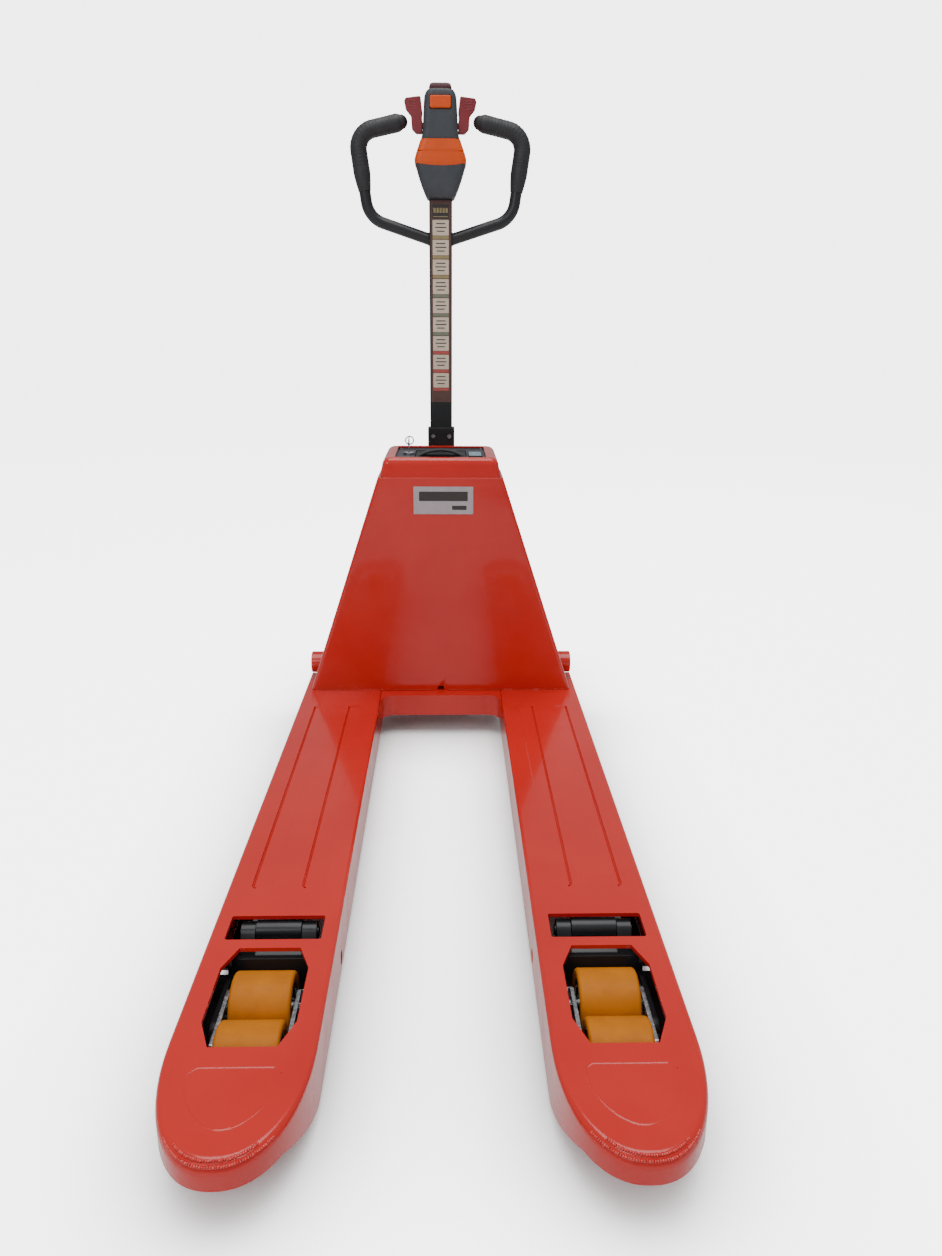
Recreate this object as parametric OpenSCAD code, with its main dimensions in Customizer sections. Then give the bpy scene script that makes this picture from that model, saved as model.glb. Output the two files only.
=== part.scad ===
// Electric pallet truck: two-fork lifting frame, power head, tiller and the
// linkage that swings the load rollers down as the forks rise.
// Millimetres. +Z is up, the forks point to -Y, and z = 0 is the floor.

/* [Forks] */
// Length of a fork from the apron's face to its tip
fork_length = 1150; // [900:10:1300]
// Width of one fork
fork_width = 155; // [145:1:190]
// Clear gap between the two forks
fork_gap = 240; // [200:5:400]
// Height of the load face above the floor, forks lowered
fork_top = 85; // [84:1:95]
// Height of the fork skirt's lower edge above the floor
fork_bottom = 18; // [12:1:22]
// Thickness of the folded steel sheet
sheet = 5; // [4:0.5:6]
// Length of the rounded nose
nose_length = 155; // [120:5:190]
// Height of the skirt's lower edge at the tip of the nose
nose_bottom = 52; // [40:1:60]
// Width of one pressed groove in the load face
groove_width = 30; // [20:1:36]
// Depth of a pressed groove
groove_depth = 2.5; // [1:0.5:3]
// Length of a pressed groove
groove_length = 631; // [400:1:640]

/* [Load rollers] */
// Radius of a load roller
roller_r = 40; // [36:1:41]
// Width of a load roller
roller_width = 70; // [60:1:72]
// Running gap between the two rollers of a pair
roller_gap = 3; // [2:0.5:6]
// Distance from the tip back to the centre of a roller pair
bogie_from_tip = 217; // [210:1:225]
// Distance between the roller pair's centre and the bracket's pivot
bracket_reach = 141; // [135:1:150]
// Height of the bracket's pivot above the floor
pivot_z = 33; // [31:1:35]
// Length of the lever that the push rod works on
bracket_lever = 32; // [28:0.5:32.5]

/* [Lift] */
// Travel of the forks
lift = 115; // [80:5:120]
// Height of the rocker shaft above the floor, forks lowered
rocker_z = 117; // [113:1:125]
// Distance of the rocker shaft behind the apron's face
rocker_y = 80; // [75:1:82]
// Radius of the rocker shaft
rocker_r = 15; // [12:0.5:16]
// Radius of the lift ram
ram_r = 17; // [14:1:19]

/* [Frame and hood] */
// Half width of the apron at its foot
apron_foot = 263; // [240:1:270]
// Half width of the apron at its top
apron_head = 119.5; // [118:0.5:150]
// Height of the apron's top edge
apron_top = 515; // [500:5:560]
// Depth of the apron's folded sides
apron_depth = 110; // [108:1:112]
// Height of the hood above the apron
hood_height = 37; // [32:1:50]
// Depth of the hood and of the rear panel's outside
box_depth = 207; // [205:1:210]
// Half width of the battery pack
battery_half = 50; // [40:1:51]

/* [Power head] */
// Distance of the steering axis behind the apron's face
steer_y = 300; // [298:1:330]
// Radius of the drive wheel
drive_r = 105; // [95:1:106]
// Width of the drive wheel
drive_width = 70; // [50:1:72]
// Radius of a castor wheel
castor_r = 37.5; // [30:0.5:38]
// Distance of a castor's swivel axis from the middle
castor_x = 208; // [206:1:212]
// Trail of a castor
castor_trail = 22; // [15:1:24]
// Farthest reach of the power head behind the apron's face
rear_reach = 420; // [418:1:440]

/* [Tiller] */
// Height of the tiller's pivot
tiller_z = 462; // [461:1:480]
// Distance of the tiller's pivot in front of the steering axis
tiller_offset = 28; // [20:1:30]
// Width of the tiller's tube
arm_width = 46; // [40:1:50]
// Depth of the tiller's tube
arm_depth = 30; // [25:1:34]
// Height of the lower end of the control head
head_z = 1030; // [960:5:1100]
// Radius of the handle's tube
loop_r = 11; // [9:0.5:12]
// Radius of a rubber grip
grip_r = 16; // [14:0.5:17]

/* [Hidden] */
$fn = 64;

// Colours
red = "#d8392b";
black = "#22252a";
steel = "#b9bdc2";
zinc = "#d5d8dc";
amber = "#c98a2b";
grey = "#4b5056";
orange = "#e2682a";
maroon = "#93303a";

// Clearances
touch = 0.01;       // cut past a face so that nothing is left on it
weld = 0.1;         // depth that a straight side runs into a round end
running = 0.1;      // radial play of a shaft in its bore
slide_gap = 0.5;    // play of a sliding pad or cap
side_gap = 1;       // side play of a lever between cheeks

// Forks
fork_x = (fork_gap + fork_width) / 2;
fork_half = fork_width / 2;
heel_end = 106;                 // the fork runs on behind the apron
heel_step = 1;                  // the apron's seat lies a little under the load face
heel_top = fork_top - heel_step;
lip_y = -30;                    // front edge of the seat and of the cross member
nose_start = nose_length - fork_length;
skirt_rise_y = nose_start - 25; // where the skirt starts to rise
skirt_rise = 90;                // length of the rise
groove_end = -84;
groove_x = 33;
load_face = fork_top - sheet;   // underside of the top sheet

// Roller linkage, all worked out from the lift
bogie_y = bogie_from_tip - fork_length;
bogie_z = roller_r;
wheel_pivot_y = bogie_y + sqrt(pow(bracket_reach, 2) - pow(bogie_z - pivot_z, 2));
drop_low = asin((pivot_z - bogie_z) / bracket_reach);
drop_high = asin((pivot_z - bogie_z + lift) / bracket_reach);
bracket_swing = drop_high - drop_low;
lever_y = wheel_pivot_y + bracket_lever * sin(bracket_swing / 2);
rod_z = pivot_z + bracket_lever * cos(bracket_swing / 2);
rod_travel = 2 * bracket_lever * sin(bracket_swing / 2);
rocker_half_swing = atan(rod_travel / 2 / (rocker_z - rod_z));
rod_lever = (rocker_z - rod_z) / cos(rocker_half_swing);
rod_pin_y = rocker_y + rod_travel / 2;
swing_reach = lift / 2 / tan(rocker_half_swing);
swing_pin_y = rocker_y + swing_reach;
swing_pin_z = rocker_z + lift / 2;
swing_far = swing_reach / cos(rocker_half_swing);
rod_rise = bracket_lever * (1 - cos(bracket_swing / 2)) + rod_lever * (1 - cos(rocker_half_swing));
axle_r = 9;                     // pivot axle of a wheel bracket
hub_r = 14;                     // boss round that axle
stub_r = 8;                     // stub that the roller pair rocks on
rod_pin_r = 7;
rod_tube_r = 12.8;
ear_in = 29;                    // bracket's ears, either side of the rod's cross tube
ear_out = 47;
arm_in = 45;                    // bracket's side arms
arm_out = 51;
plate_in = 38;                  // zinc side plates of a roller pair
plate_out = 43;
roller_pitch = 2 * roller_r + roller_gap;
roller_axle_r = 7.5;
core_r = 28;
window_width = 116;
window_length = 48;
window_y = wheel_pivot_y - 10;  // middle of the small window over the rod's joint
well_half = 50.5;               // the eight-sided well over the rollers
well_end = 36;
well_back = bogie_y + 90;
well_front = bogie_y - 73;
well_chamfer = 37;

// Rocker
swing_arm_x = 133;
swing_arm_t = 8;
swing_arm_half = 14;
rod_lever_half = 10;
boss_r = 22;
boss_out = apron_foot + 7;
boss_in = boss_out - 38;
boss_cap = 8;

// Frame
apron_slant = (apron_foot - apron_head) / (apron_top - heel_top);
apron_wall = sheet * sqrt(1 + pow(apron_slant, 2));
hood_top = apron_top + hood_height;
hood_foot = apron_head - 3.5;
hood_crown = hood_foot - 19;
hood_sheet = 4;
dash_z = hood_top - 6;
dash_half = 87;
dash_rim = 4;                   // ledge that bears on the hood from below
dash_front = 20;
dash_back = 190;
battery_front = 30;
battery_back = 172;
key_x = -63;
key_y = 100;
panel_half = hood_foot + 2;
panel_z = 252;
bracket_z = 312;                // underside of the plate that the ram pushes
shelf_top = bracket_z + 12;     // the battery pack stands on this plate
battery_z = shelf_top + 0.3;

// Power head
deck_z = 236;
deck_t = 10;
deck_top = deck_z + deck_t;
deck_front = steer_y - 122;
plate_x = 125;
plate_t = 6;
plate_low = 100;
tray_z = 56;
tray_front = 106;
tray_t = 8;
tray_half = 118;
shelf_z = 112;
shelf_t = 8;
shelf_out = castor_x + 32;
cylinder_y = 142;
cylinder_r = 28;
hose_y = 173;
hose_r = 4.5;
hose_x = 58;
post_x = 96;
post_y = deck_front + 12;
post_size = 12;
post_top = 398;
pad_z = 366;
pad_length = 30;
neck_r = 60;
turret_r = 86;
turret_z = 264;
turret_top = 430;
turret_cap = 8;
cover_x = 154;
cover_front = 212;
cover_low = 122;
cover_top = 300;
cover_sheet = 4;
drive_leg_in = 42;
drive_leg_out = 54;
drive_axle_r = 12;

// Tiller
tiller_y = steer_y - tiller_offset;
arm_y = tiller_y - 7;           // middle of the tube
pin_r = 8;
boss_half = 32;
ear_t = 10;
arm_wall = 3;
spring_wire = 1.8;
collar_half = arm_width / 2 + 5;
collar_top = 583;
spring_r = pin_r + spring_wire + 0.5; // coil of the return spring
spring_turns = 4;
head_front = arm_y - 37;
head_back = arm_y + 35;
head_wall = 4;
belt_low = 62;
belt_high = 108;
belt_proud = 1.5;
throttle_y = head_front + 24;
throttle_z = head_z + 130;

// Where the frame's origin lies: the middle of the footprint, on the floor
origin_y = (rear_reach - fork_length) / 2;

// ---------------------------------------------------------------- helpers

// Moves a piece from the apron's face, where it is drawn, into the part's frame
module placed() translate([0, -origin_y, 0]) children();

// A cylinder along X between two planes
module bar_x(r, x0, x1, y, z) translate([x0, y, z]) rotate([0, 90, 0]) cylinder(r = r, h = x1 - x0);

// A box from one corner to the opposite one
module block(low, high) translate(low) cube(high - low);

// A drawing in (Y, Z) pushed along X
module extrude_x(x0, x1) translate([x0, 0, 0]) rotate([90, 0, 90]) linear_extrude(x1 - x0) children();

// A drawing in (X, Z) pushed along Y
module extrude_y(y0, y1) translate([0, y1, 0]) rotate([90, 0, 0]) linear_extrude(y1 - y0) children();

// Both sides of the middle plane
module both() for (side = [-1, 1]) scale_side(side) children();
module scale_side(side) mirror([side < 0 ? 1 : 0, 0, 0]) children();

// A flat link in (Y, Z) between two round ends, with straight sides that meet
// them just inside their tangent points
module link(y0, z0, r0, y1, z1, r1) {
    way = atan2(z1 - z0, y1 - y0);
    lean = acos((r0 - r1) / norm([y1 - y0, z1 - z0]));
    translate([y0, z0]) circle(r0);
    translate([y1, z1]) circle(r1);
    polygon([for (corner = [[y0, z0, r0, 1], [y1, z1, r1, 1], [y1, z1, r1, -1], [y0, z0, r0, -1]])
        [corner[0], corner[1]] + (corner[2] - weld) * [cos(way + corner[3] * lean), sin(way + corner[3] * lean)]]);
}

// A plan outline: straight back to the heel, half an ellipse round the nose
function fork_plan(half, reach, heel, steps = 32) = concat(
    [[-half, heel], [half, heel]],
    [for (i = [0:steps]) [half * cos(180 * i / steps), nose_start - reach * sin(180 * i / steps)]]);

function unit(v) = v / norm(v);
function turn(a, b, c) = acos(unit(b - a) * unit(c - b));
function trim(a, b, c, r) = r * tan(turn(a, b, c) / 2);

// The points of a bend at one corner of a line in (X, Z), and of a whole line.
// bends holds one radius per corner, 0 at both ends.
function corner(a, b, c, r, steps) =
    let (way = unit(b - a),
        left = cross(way, unit(c - b)) > 0 ? 1 : -1,
        centre = b - way * trim(a, b, c, r) + r * left * [-way[1], way[0]],
        start = atan2(-left * way[0], left * way[1]),
        sweep = left * turn(a, b, c))
    [for (i = [0:steps]) centre + r * [cos(start + sweep * i / steps), sin(start + sweep * i / steps)]];
function bent_line(line, bends, steps = 10) =
    let (last = len(line) - 1)
    [for (i = [0:last]) each i == 0 || i == last ? [line[i]]
        : corner(line[i - 1], line[i], line[i + 1], bends[i], steps)];

// A closed tube along points in space, with one radius a point. Its rings turn
// round the path from the direction square to the path and to aside.
function ring_at(points, i, r, aside, sides) =
    let (last = len(points) - 1,
        way = unit(points[min(i + 1, last)] - points[max(i - 1, 0)]),
        across = unit(cross(way, aside)),
        over = cross(way, across))
    [for (k = [0:sides - 1]) points[i] + r * (across * cos(360 * k / sides) + over * sin(360 * k / sides))];
module tube_along(points, radii, aside, sides) {
    count = len(points);
    skin = [for (i = [0:count - 1]) each ring_at(points, i, radii[i], aside, sides)];
    walls = [for (i = [0:count - 2]) for (k = [0:sides - 1])
        [(i + 1) * sides + k, (i + 1) * sides + (k + 1) % sides, i * sides + (k + 1) % sides, i * sides + k]];
    ends = [[for (k = [0:sides - 1]) k], [for (k = [sides - 1:-1:0]) (count - 1) * sides + k]];
    polyhedron(skin, concat(walls, ends));
}
// The same along a line in (X, Z)
module tube_in_xz(line, radii, sides = 20)
    tube_along([for (p = line) [p[0], 0, p[1]]], radii, [0, 1, 0], sides);

// ------------------------------------------------------------- fork frame

module fork_shell() {
    difference() {
        translate([0, 0, fork_bottom]) linear_extrude(fork_top - fork_bottom)
            polygon(fork_plan(fork_half, nose_length, heel_end));
        translate([0, 0, fork_bottom - 1]) linear_extrude(load_face - fork_bottom + 1)
            polygon(fork_plan(fork_half - sheet, nose_length - sheet, heel_end + 1));
        extrude_x(-fork_width, fork_width) polygon([
            [skirt_rise_y, fork_bottom - 1], [skirt_rise_y, fork_bottom], [skirt_rise_y - skirt_rise, nose_bottom],
            [-fork_length - 1, nose_bottom], [-fork_length - 1, fork_bottom - 1]]);
        block([-fork_width, lip_y, heel_top], [fork_width, heel_end + 1, fork_top + 1]);
        for (side = [-1, 1])
            block([side * groove_x - groove_width / 2, groove_end - groove_length, fork_top - groove_depth],
                [side * groove_x + groove_width / 2, groove_end, fork_top + 1]);
        block([-window_width / 2, window_y - window_length / 2, load_face - 1],
            [window_width / 2, window_y + window_length / 2, fork_top + 1]);
        translate([0, 0, load_face - 1]) linear_extrude(sheet + 2) polygon([
            [well_end, well_back], [well_half, well_back - well_chamfer], [well_half, well_front + well_chamfer],
            [well_end, well_front], [-well_end, well_front], [-well_half, well_front + well_chamfer],
            [-well_half, well_back - well_chamfer], [-well_end, well_back]]);
        bar_x(axle_r, -fork_width, fork_width, wheel_pivot_y, pivot_z);
        block([-rod_lever_half - 4, rocker_y - 32, load_face - 10], [rod_lever_half + 4, heel_end + 1, fork_top + 1]);
    }
}
module fork_left() placed() color(red) translate([-fork_x, 0, 0]) fork_shell();
module fork_right() placed() color(red) translate([fork_x, 0, 0]) fork_shell();

module apron_face(inset, extra) {
    low = heel_top - extra;
    high = apron_top + extra;
    polygon([[-apron_foot + inset - apron_slant * extra, low], [apron_foot - inset + apron_slant * extra, low],
        [apron_head - inset - apron_slant * extra, high], [-apron_head + inset + apron_slant * extra, high]]);
}
module apron() placed() color(red) difference() {
    extrude_y(0, apron_depth) apron_face(0, 0);
    extrude_y(sheet, apron_depth + 1) apron_face(apron_wall, 1);
    block([-6, -1, heel_top - 1], [6, sheet + 1, heel_top + 8]);
    bar_x(boss_r, -boss_out, boss_out, rocker_y, rocker_z);
}

// The corner fillets round the gap between the forks
module gap_plan(front, fillet) difference() {
    translate([-fork_gap / 2, front - fillet]) square([fork_gap, 60 - front + fillet]);
    gap_slot(front, fillet);
}
module gap_slot(front, fillet) {
    reach = fork_gap / 2 - fillet;
    for (side = [-1, 1]) translate([side * reach, front - fillet]) circle(fillet);
    translate([-reach, front - 2 * fillet]) square([2 * reach, 2 * fillet]);
}
module cross_member() placed() color(red) difference() {
    translate([0, 0, 42]) linear_extrude(heel_top - 42) gap_plan(lip_y, 30);
    translate([0, 0, 41]) linear_extrude(heel_top - sheet - 41) intersection() {
        gap_plan(lip_y + sheet, 30 + sheet);
        translate([-fork_gap / 2 - 1, lip_y + sheet]) square([fork_gap + 2, 100]);
    }
    block([-fork_gap, 60 - touch, 0], [fork_gap, 70, fork_top]);
}

module rear_panel() placed() color(red) difference() {
    block([-panel_half, 60, panel_z], [panel_half, box_depth, apron_top]);
    block([-panel_half + 3, 59, panel_z - 1], [panel_half - 3, box_depth - 3, apron_top + 1]);
    block([-panel_half - 1, 59, bracket_z - slide_gap],
        [panel_half + 1, apron_depth + slide_gap, shelf_top + slide_gap]);
    for (row = [0:4])
        block([-45, box_depth - 4, panel_z + 28 + row * 16], [45, box_depth + 1, panel_z + 34 + row * 16]);
    extrude_y(59, apron_depth) difference() {
        square([4 * panel_half, 4 * apron_top], center = true);
        apron_face(apron_wall, 2);
    }
}

module hood_face(inset) polygon([[-hood_foot + inset, apron_top - (inset > 0 ? 1 : 0)],
    [hood_foot - inset, apron_top - (inset > 0 ? 1 : 0)],
    [hood_foot - 5 - inset, hood_top - 15], [hood_crown - inset, hood_top - inset],
    [-hood_crown + inset, hood_top - inset], [-hood_foot + 5 + inset, hood_top - 15]]);
module hood() placed() color(red) difference() {
    extrude_y(2, box_depth) hood_face(0);
    extrude_y(2 + hood_sheet, box_depth - hood_sheet) hood_face(hood_sheet);
    block([-dash_half, dash_front, dash_z - 1], [dash_half, dash_back, hood_top + 1]);
}

module dash_panel() placed() color(grey) difference() {
    block([-dash_half - dash_rim, dash_front - dash_rim, dash_z - 8],
        [dash_half + dash_rim, dash_back + dash_rim, hood_top - hood_sheet]);
    block([-dash_half, dash_front, dash_z], [dash_half, dash_back, hood_top]);
    block([-battery_half - 1, battery_front - 1, 0], [battery_half + 1, battery_back + 1, hood_top]);
    translate([key_x, key_y, dash_z - 20]) cylinder(r = 8, h = 40);
}

module battery_gauge() placed() color("#2f6f80") block([54, 62, dash_z], [82, 132, dash_z + 3]);

module key_switch() placed() color(zinc) difference() {
    union() {
        translate([key_x, key_y, dash_z]) cylinder(r = 11, h = 5);
        translate([key_x, key_y, dash_z - 30]) cylinder(r = 8, h = 31);
    }
    translate([key_x, key_y, dash_z - 14]) cylinder(r = 5, h = 30);
}
module key() placed() color(steel) {
    translate([key_x, key_y, dash_z - 13]) cylinder(r = 4.7, h = 17);
    block([key_x - 1, key_y - 3.8, dash_z + 4], [key_x + 1, key_y + 3.8, dash_z + 13]);
    difference() {
        extrude_x(key_x - 1.2, key_x + 1.2) translate([key_y, dash_z + 24]) circle(12);
        bar_x(4, key_x - 2, key_x + 2, key_y, dash_z + 29);
    }
}

module rocker_housing() placed() color(red) both() difference() {
    bar_x(boss_r, boss_in, boss_out, rocker_y, rocker_z);
    bar_x(rocker_r + running, boss_in - 1, boss_out - boss_cap, rocker_y, rocker_z);
}

module guide_frame() placed() color(red) {
    wing = apron_foot - apron_wall - apron_slant * (shelf_top - heel_top);
    difference() {
        union() {
            block([-wing + 0.3, 60, bracket_z], [wing - 0.3, apron_depth, shelf_top]);
            block([-110, apron_depth - 1, bracket_z], [110, post_y - 11, shelf_top]);
            both() block([80, post_y - 13.5, 248], [110.5, post_y + 13.5, 400]);
        }
        both() block([79, post_y - 9.5, 247], [106.5, post_y + 9.5, 401]);
    }
}

module lift_ram() placed() color(zinc) {
    translate([0, cylinder_y, 82]) cylinder(r = ram_r, h = bracket_z - 82);
    translate([0, cylinder_y, 82]) cylinder(r = 21.8, h = 20);
}

module motor_controller() placed() color(black) {
    block([-85, sheet, 160], [85, sheet + 22, 288]);
    for (fin = [0:9]) block([-80 + fin * 17, sheet + 22 - touch, 164], [-73 + fin * 17, sheet + 38, 284]);
}

module wheel_pivot_axles() placed() color(steel) for (side = [-1, 1])
    bar_x(axle_r, side * fork_x - fork_half + 3.5, side * fork_x + fork_half - 3.5, wheel_pivot_y, pivot_z);

module battery_case() placed() color(black) difference() {
    block([-battery_half, battery_front, battery_z], [battery_half, battery_back, dash_z - 2]);
    block([-battery_half + 12, 76, dash_z - 10], [battery_half - 12, 126, dash_z]);
}
module battery_handle() placed() color(black) {
    height = 14;
    chord = 2 * (battery_half - 2);
    radius = (pow(chord / 2, 2) + pow(height, 2)) / 2 / height;
    half_angle = asin(chord / 2 / radius);
    translate([0, 88, dash_z - 2 + height - radius]) rotate([-90, 0, 0]) linear_extrude(26) difference() {
        circle(radius);
        circle(radius - 5);
        translate([-radius - 1, -radius + height]) square(2 * radius + 2);
    }
}

// ----------------------------------------------------------------- linkage

module rocker_arm() placed() color(black) difference() {
    union() {
        bar_x(rocker_r, -boss_out + boss_cap + 4, boss_out - boss_cap - 4, rocker_y, rocker_z);
        for (side = [-1, 1])
            extrude_x(side * fork_x - rod_lever_half, side * fork_x + rod_lever_half)
                link(rocker_y, rocker_z, 22, rod_pin_y, rod_z, 14);
        both() extrude_x(swing_arm_x, swing_arm_x + swing_arm_t) {
            link(rocker_y, rocker_z, 24, swing_pin_y, swing_pin_z, swing_arm_half + 4);
        }
    }
    for (side = [-1, 1])
        bar_x(rod_pin_r + running, side * fork_x - 30, side * fork_x + 30, rod_pin_y, rod_z);
    both() extrude_x(swing_arm_x - 1, swing_arm_x + swing_arm_t + 1)
        translate([swing_pin_y, swing_pin_z]) rotate(rocker_half_swing) swing_slot();
}
// The slot that lets the arm's arc meet the fixed pin
module swing_slot() {
    play = swing_far - swing_reach + 0.8;
    translate([-play, 0]) circle(10.8);
    translate([0.5, 0]) circle(10.8);
    translate([-play, -10.8]) square([play + 0.5, 21.6]);
}

module pushrod(side) color(black) translate([side * fork_x, 0, 0]) {
    both() extrude_x(rod_lever_half + side_gap, rod_lever_half + side_gap + 6)
        link(rod_pin_y, rod_z, 14, rod_pin_y - 60, rod_z, 12);
    block([-rod_lever_half - side_gap - 6, rod_pin_y - 80, rod_z - 12],
        [rod_lever_half + side_gap + 6, rod_pin_y - 58, rod_z + 12]);
    bar_x(rod_pin_r, -rod_lever_half - side_gap - 8, rod_lever_half + side_gap + 8, rod_pin_y, rod_z);
    difference() {
        union() {
            translate([0, lever_y + 5, rod_z]) rotate([-90, 0, 0]) cylinder(r = 10, h = rod_pin_y - 80 - lever_y - 5);
            bar_x(rod_tube_r, -ear_in + side_gap, ear_in - side_gap, lever_y, rod_z + rod_rise / 2);
        }
        extrude_x(-ear_in, ear_in) {
            translate([lever_y, rod_z]) circle(rod_pin_r + 0.3);
            translate([lever_y, rod_z + rod_rise]) circle(rod_pin_r + 0.3);
            translate([lever_y - rod_pin_r - 0.3, rod_z]) square([2 * rod_pin_r + 0.6, rod_rise]);
        }
    }
}
module pushrod_left() placed() pushrod(-1);
module pushrod_right() placed() pushrod(1);

module wheel_bracket(side) color(black) translate([side * fork_x, 0, 0]) {
    difference() {
        union() {
            bar_x(hub_r, -fork_half + sheet + side_gap, fork_half - sheet - side_gap, wheel_pivot_y, pivot_z);
            both() extrude_x(ear_in, ear_out) link(wheel_pivot_y, pivot_z, hub_r + 1.5, lever_y, rod_z, 13);
            both() extrude_x(arm_in, arm_out) link(wheel_pivot_y, pivot_z, hub_r + 3, bogie_y, bogie_z, 16);
            block([-arm_in - 1, wheel_pivot_y - 54, bogie_z - 12], [arm_in + 1, wheel_pivot_y - 47, 72]);
            both() block([arm_in, wheel_pivot_y - 54, bogie_z - 12], [arm_out, wheel_pivot_y - 12, 62]);
        }
        bar_x(axle_r + running, -fork_half, fork_half, wheel_pivot_y, pivot_z);
        bar_x(stub_r + running, -fork_half, fork_half, bogie_y, bogie_z);
    }
    bar_x(rod_pin_r, -ear_out - 2, ear_out + 2, lever_y, rod_z);
}
module wheel_bracket_left() placed() wheel_bracket(-1);
module wheel_bracket_right() placed() wheel_bracket(1);

module bogie_plate() polygon([
    [bogie_y - roller_pitch / 2 - 16, bogie_z - 10], [bogie_y - roller_pitch / 2 - 4, bogie_z - 20],
    [bogie_y + roller_pitch / 2 + 4, bogie_z - 20], [bogie_y + roller_pitch / 2 + 16, bogie_z - 10],
    [bogie_y + roller_pitch / 2 + 16, bogie_z + 10], [bogie_y + roller_pitch / 2 + 2, bogie_z + 22],
    [bogie_y - roller_pitch / 2 - 2, bogie_z + 22], [bogie_y - roller_pitch / 2 - 16, bogie_z + 10]]);
module bogie(side) color(zinc) translate([side * fork_x, 0, 0]) {
    both() extrude_x(plate_in, plate_out) bogie_plate();
    for (end = [-1, 1]) {
        bar_x(roller_axle_r, -plate_out, plate_out, bogie_y + end * roller_pitch / 2, bogie_z);
        scale_side(end) bar_x(stub_r, plate_in - 1, arm_out + 2, bogie_y, bogie_z);
    }
}
module bogie_left() placed() bogie(-1);
module bogie_right() placed() bogie(1);

// end is 1 for the roller nearer the tip, -1 for the other
module roller_tyre(side, end) color(amber) translate([side * fork_x, bogie_y - end * roller_pitch / 2, bogie_z])
    rotate([0, 90, 0]) rotate_extrude() polygon([[core_r, -roller_width / 2 + 1],
        [roller_r - 3, -roller_width / 2], [roller_r, -roller_width / 2 + 3], [roller_r, roller_width / 2 - 3],
        [roller_r - 3, roller_width / 2], [core_r, roller_width / 2 - 1]]);
module roller_core(side, end) color(steel) translate([side * fork_x, bogie_y - end * roller_pitch / 2, bogie_z])
    rotate([0, 90, 0]) {
        difference() {
            cylinder(r = core_r, h = roller_width - 4, center = true);
            cylinder(r = 20, h = roller_width, center = true);
        }
        for (face = [-1, 1]) translate([0, 0, face * (roller_width / 2 - 9)]) difference() {
            cylinder(r = 20, h = 12, center = true);
            cylinder(r = roller_axle_r + running, h = 13, center = true);
        }
    }
module roller_tyre_left_front() placed() roller_tyre(-1, 1);
module roller_tyre_left_rear() placed() roller_tyre(-1, -1);
module roller_tyre_right_front() placed() roller_tyre(1, 1);
module roller_tyre_right_rear() placed() roller_tyre(1, -1);
module roller_core_left_front() placed() roller_core(-1, 1);
module roller_core_left_rear() placed() roller_core(-1, -1);
module roller_core_right_front() placed() roller_core(1, 1);
module roller_core_right_rear() placed() roller_core(1, -1);

// -------------------------------------------------------------- power head

module chassis_frame() placed() color(red) difference() {
    union() {
        block([-plate_x - plate_t, deck_front, deck_z], [plate_x + plate_t, rear_reach - 25, deck_top]);
        both() block([plate_x, deck_front, plate_low], [plate_x + plate_t, rear_reach - 25, deck_z]);
        block([-plate_x, deck_front, tray_z], [plate_x, deck_front + 6, deck_z]);
        block([-tray_half, tray_front, tray_z], [tray_half, deck_front, tray_z + tray_t]);
        both() {
            block([plate_x, steer_y - 38, shelf_z], [shelf_out, steer_y + 38, shelf_z + shelf_t]);
            translate([castor_x, steer_y, shelf_z - 18]) cylinder(r = 22, h = 18);
            block([plate_x, steer_y - 38, shelf_z - 12], [shelf_out - 55, steer_y - 32, shelf_z]);
            block([plate_x, steer_y + 32, shelf_z - 12], [shelf_out - 55, steer_y + 38, shelf_z]);
        }
    }
    translate([0, steer_y, deck_z - 1]) cylinder(r = 72, h = deck_t + 2);
    both() translate([castor_x, steer_y, shelf_z - 19]) cylinder(r = 10.2, h = 40);
    both() bar_x(10, plate_x - 1, plate_x + plate_t + 1, swing_pin_y, swing_pin_z);
}

module slew_ring() placed() color(steel) translate([0, steer_y, deck_top]) difference() {
    cylinder(r = 88, h = 14);
    translate([0, 0, -1]) cylinder(r = 73, h = 16);
}

module lift_cylinder() placed() color(black) translate([0, cylinder_y, tray_z + tray_t]) difference() {
    union() {
        cylinder(r = cylinder_r, h = 226);
        translate([0, 0, 214]) cylinder(r = 31, h = 14);
        cylinder(r = 36, h = 8);
    }
    translate([0, 0, 10]) cylinder(r = 22, h = 200);
    translate([0, 0, 100]) cylinder(r = ram_r + running, h = 140);
}

module hydraulic_tank() placed() color("#d9d4c4") {
    block([40, 110, tray_z + tray_t], [112, deck_front - 2, 214]);
    translate([95, 130, 214]) cylinder(r = 10, h = 10);
}

module pump_motor() placed() color(black) {
    block([-112, 110, tray_z + tray_t], [-38, deck_front - 2, 110]);
    translate([-76, 140, 110]) cylinder(r = 33, h = 108);
    translate([-76, 140, 218]) cylinder(r = 30, h = 7);
}

module hydraulic_hose() placed() color("#15161a") translate([0, hose_y, 0]) {
    translate([hose_x, 0, 214]) cylinder(r = hose_r, h = 26);
    translate([-hose_x, 0, 110]) cylinder(r = hose_r, h = 130);
    translate([0, 0, 240]) rotate([90, 0, 0]) rotate_extrude(angle = 180) translate([hose_x, 0]) circle(hose_r);
}

module lift_guides() placed() both() {
    color(steel) block([post_x - post_size / 2, post_y - post_size / 2, deck_top],
        [post_x + post_size / 2, post_y + post_size / 2, post_top]);
    color("#e8e6df") difference() {
        block([post_x - 12, post_y - 9, pad_z], [post_x + 10, post_y + 9, pad_z + pad_length]);
        block([post_x - post_size / 2, post_y - post_size / 2, pad_z - 1],
            [post_x + post_size / 2, post_y + post_size / 2, pad_z + pad_length + 1]);
    }
}

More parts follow.
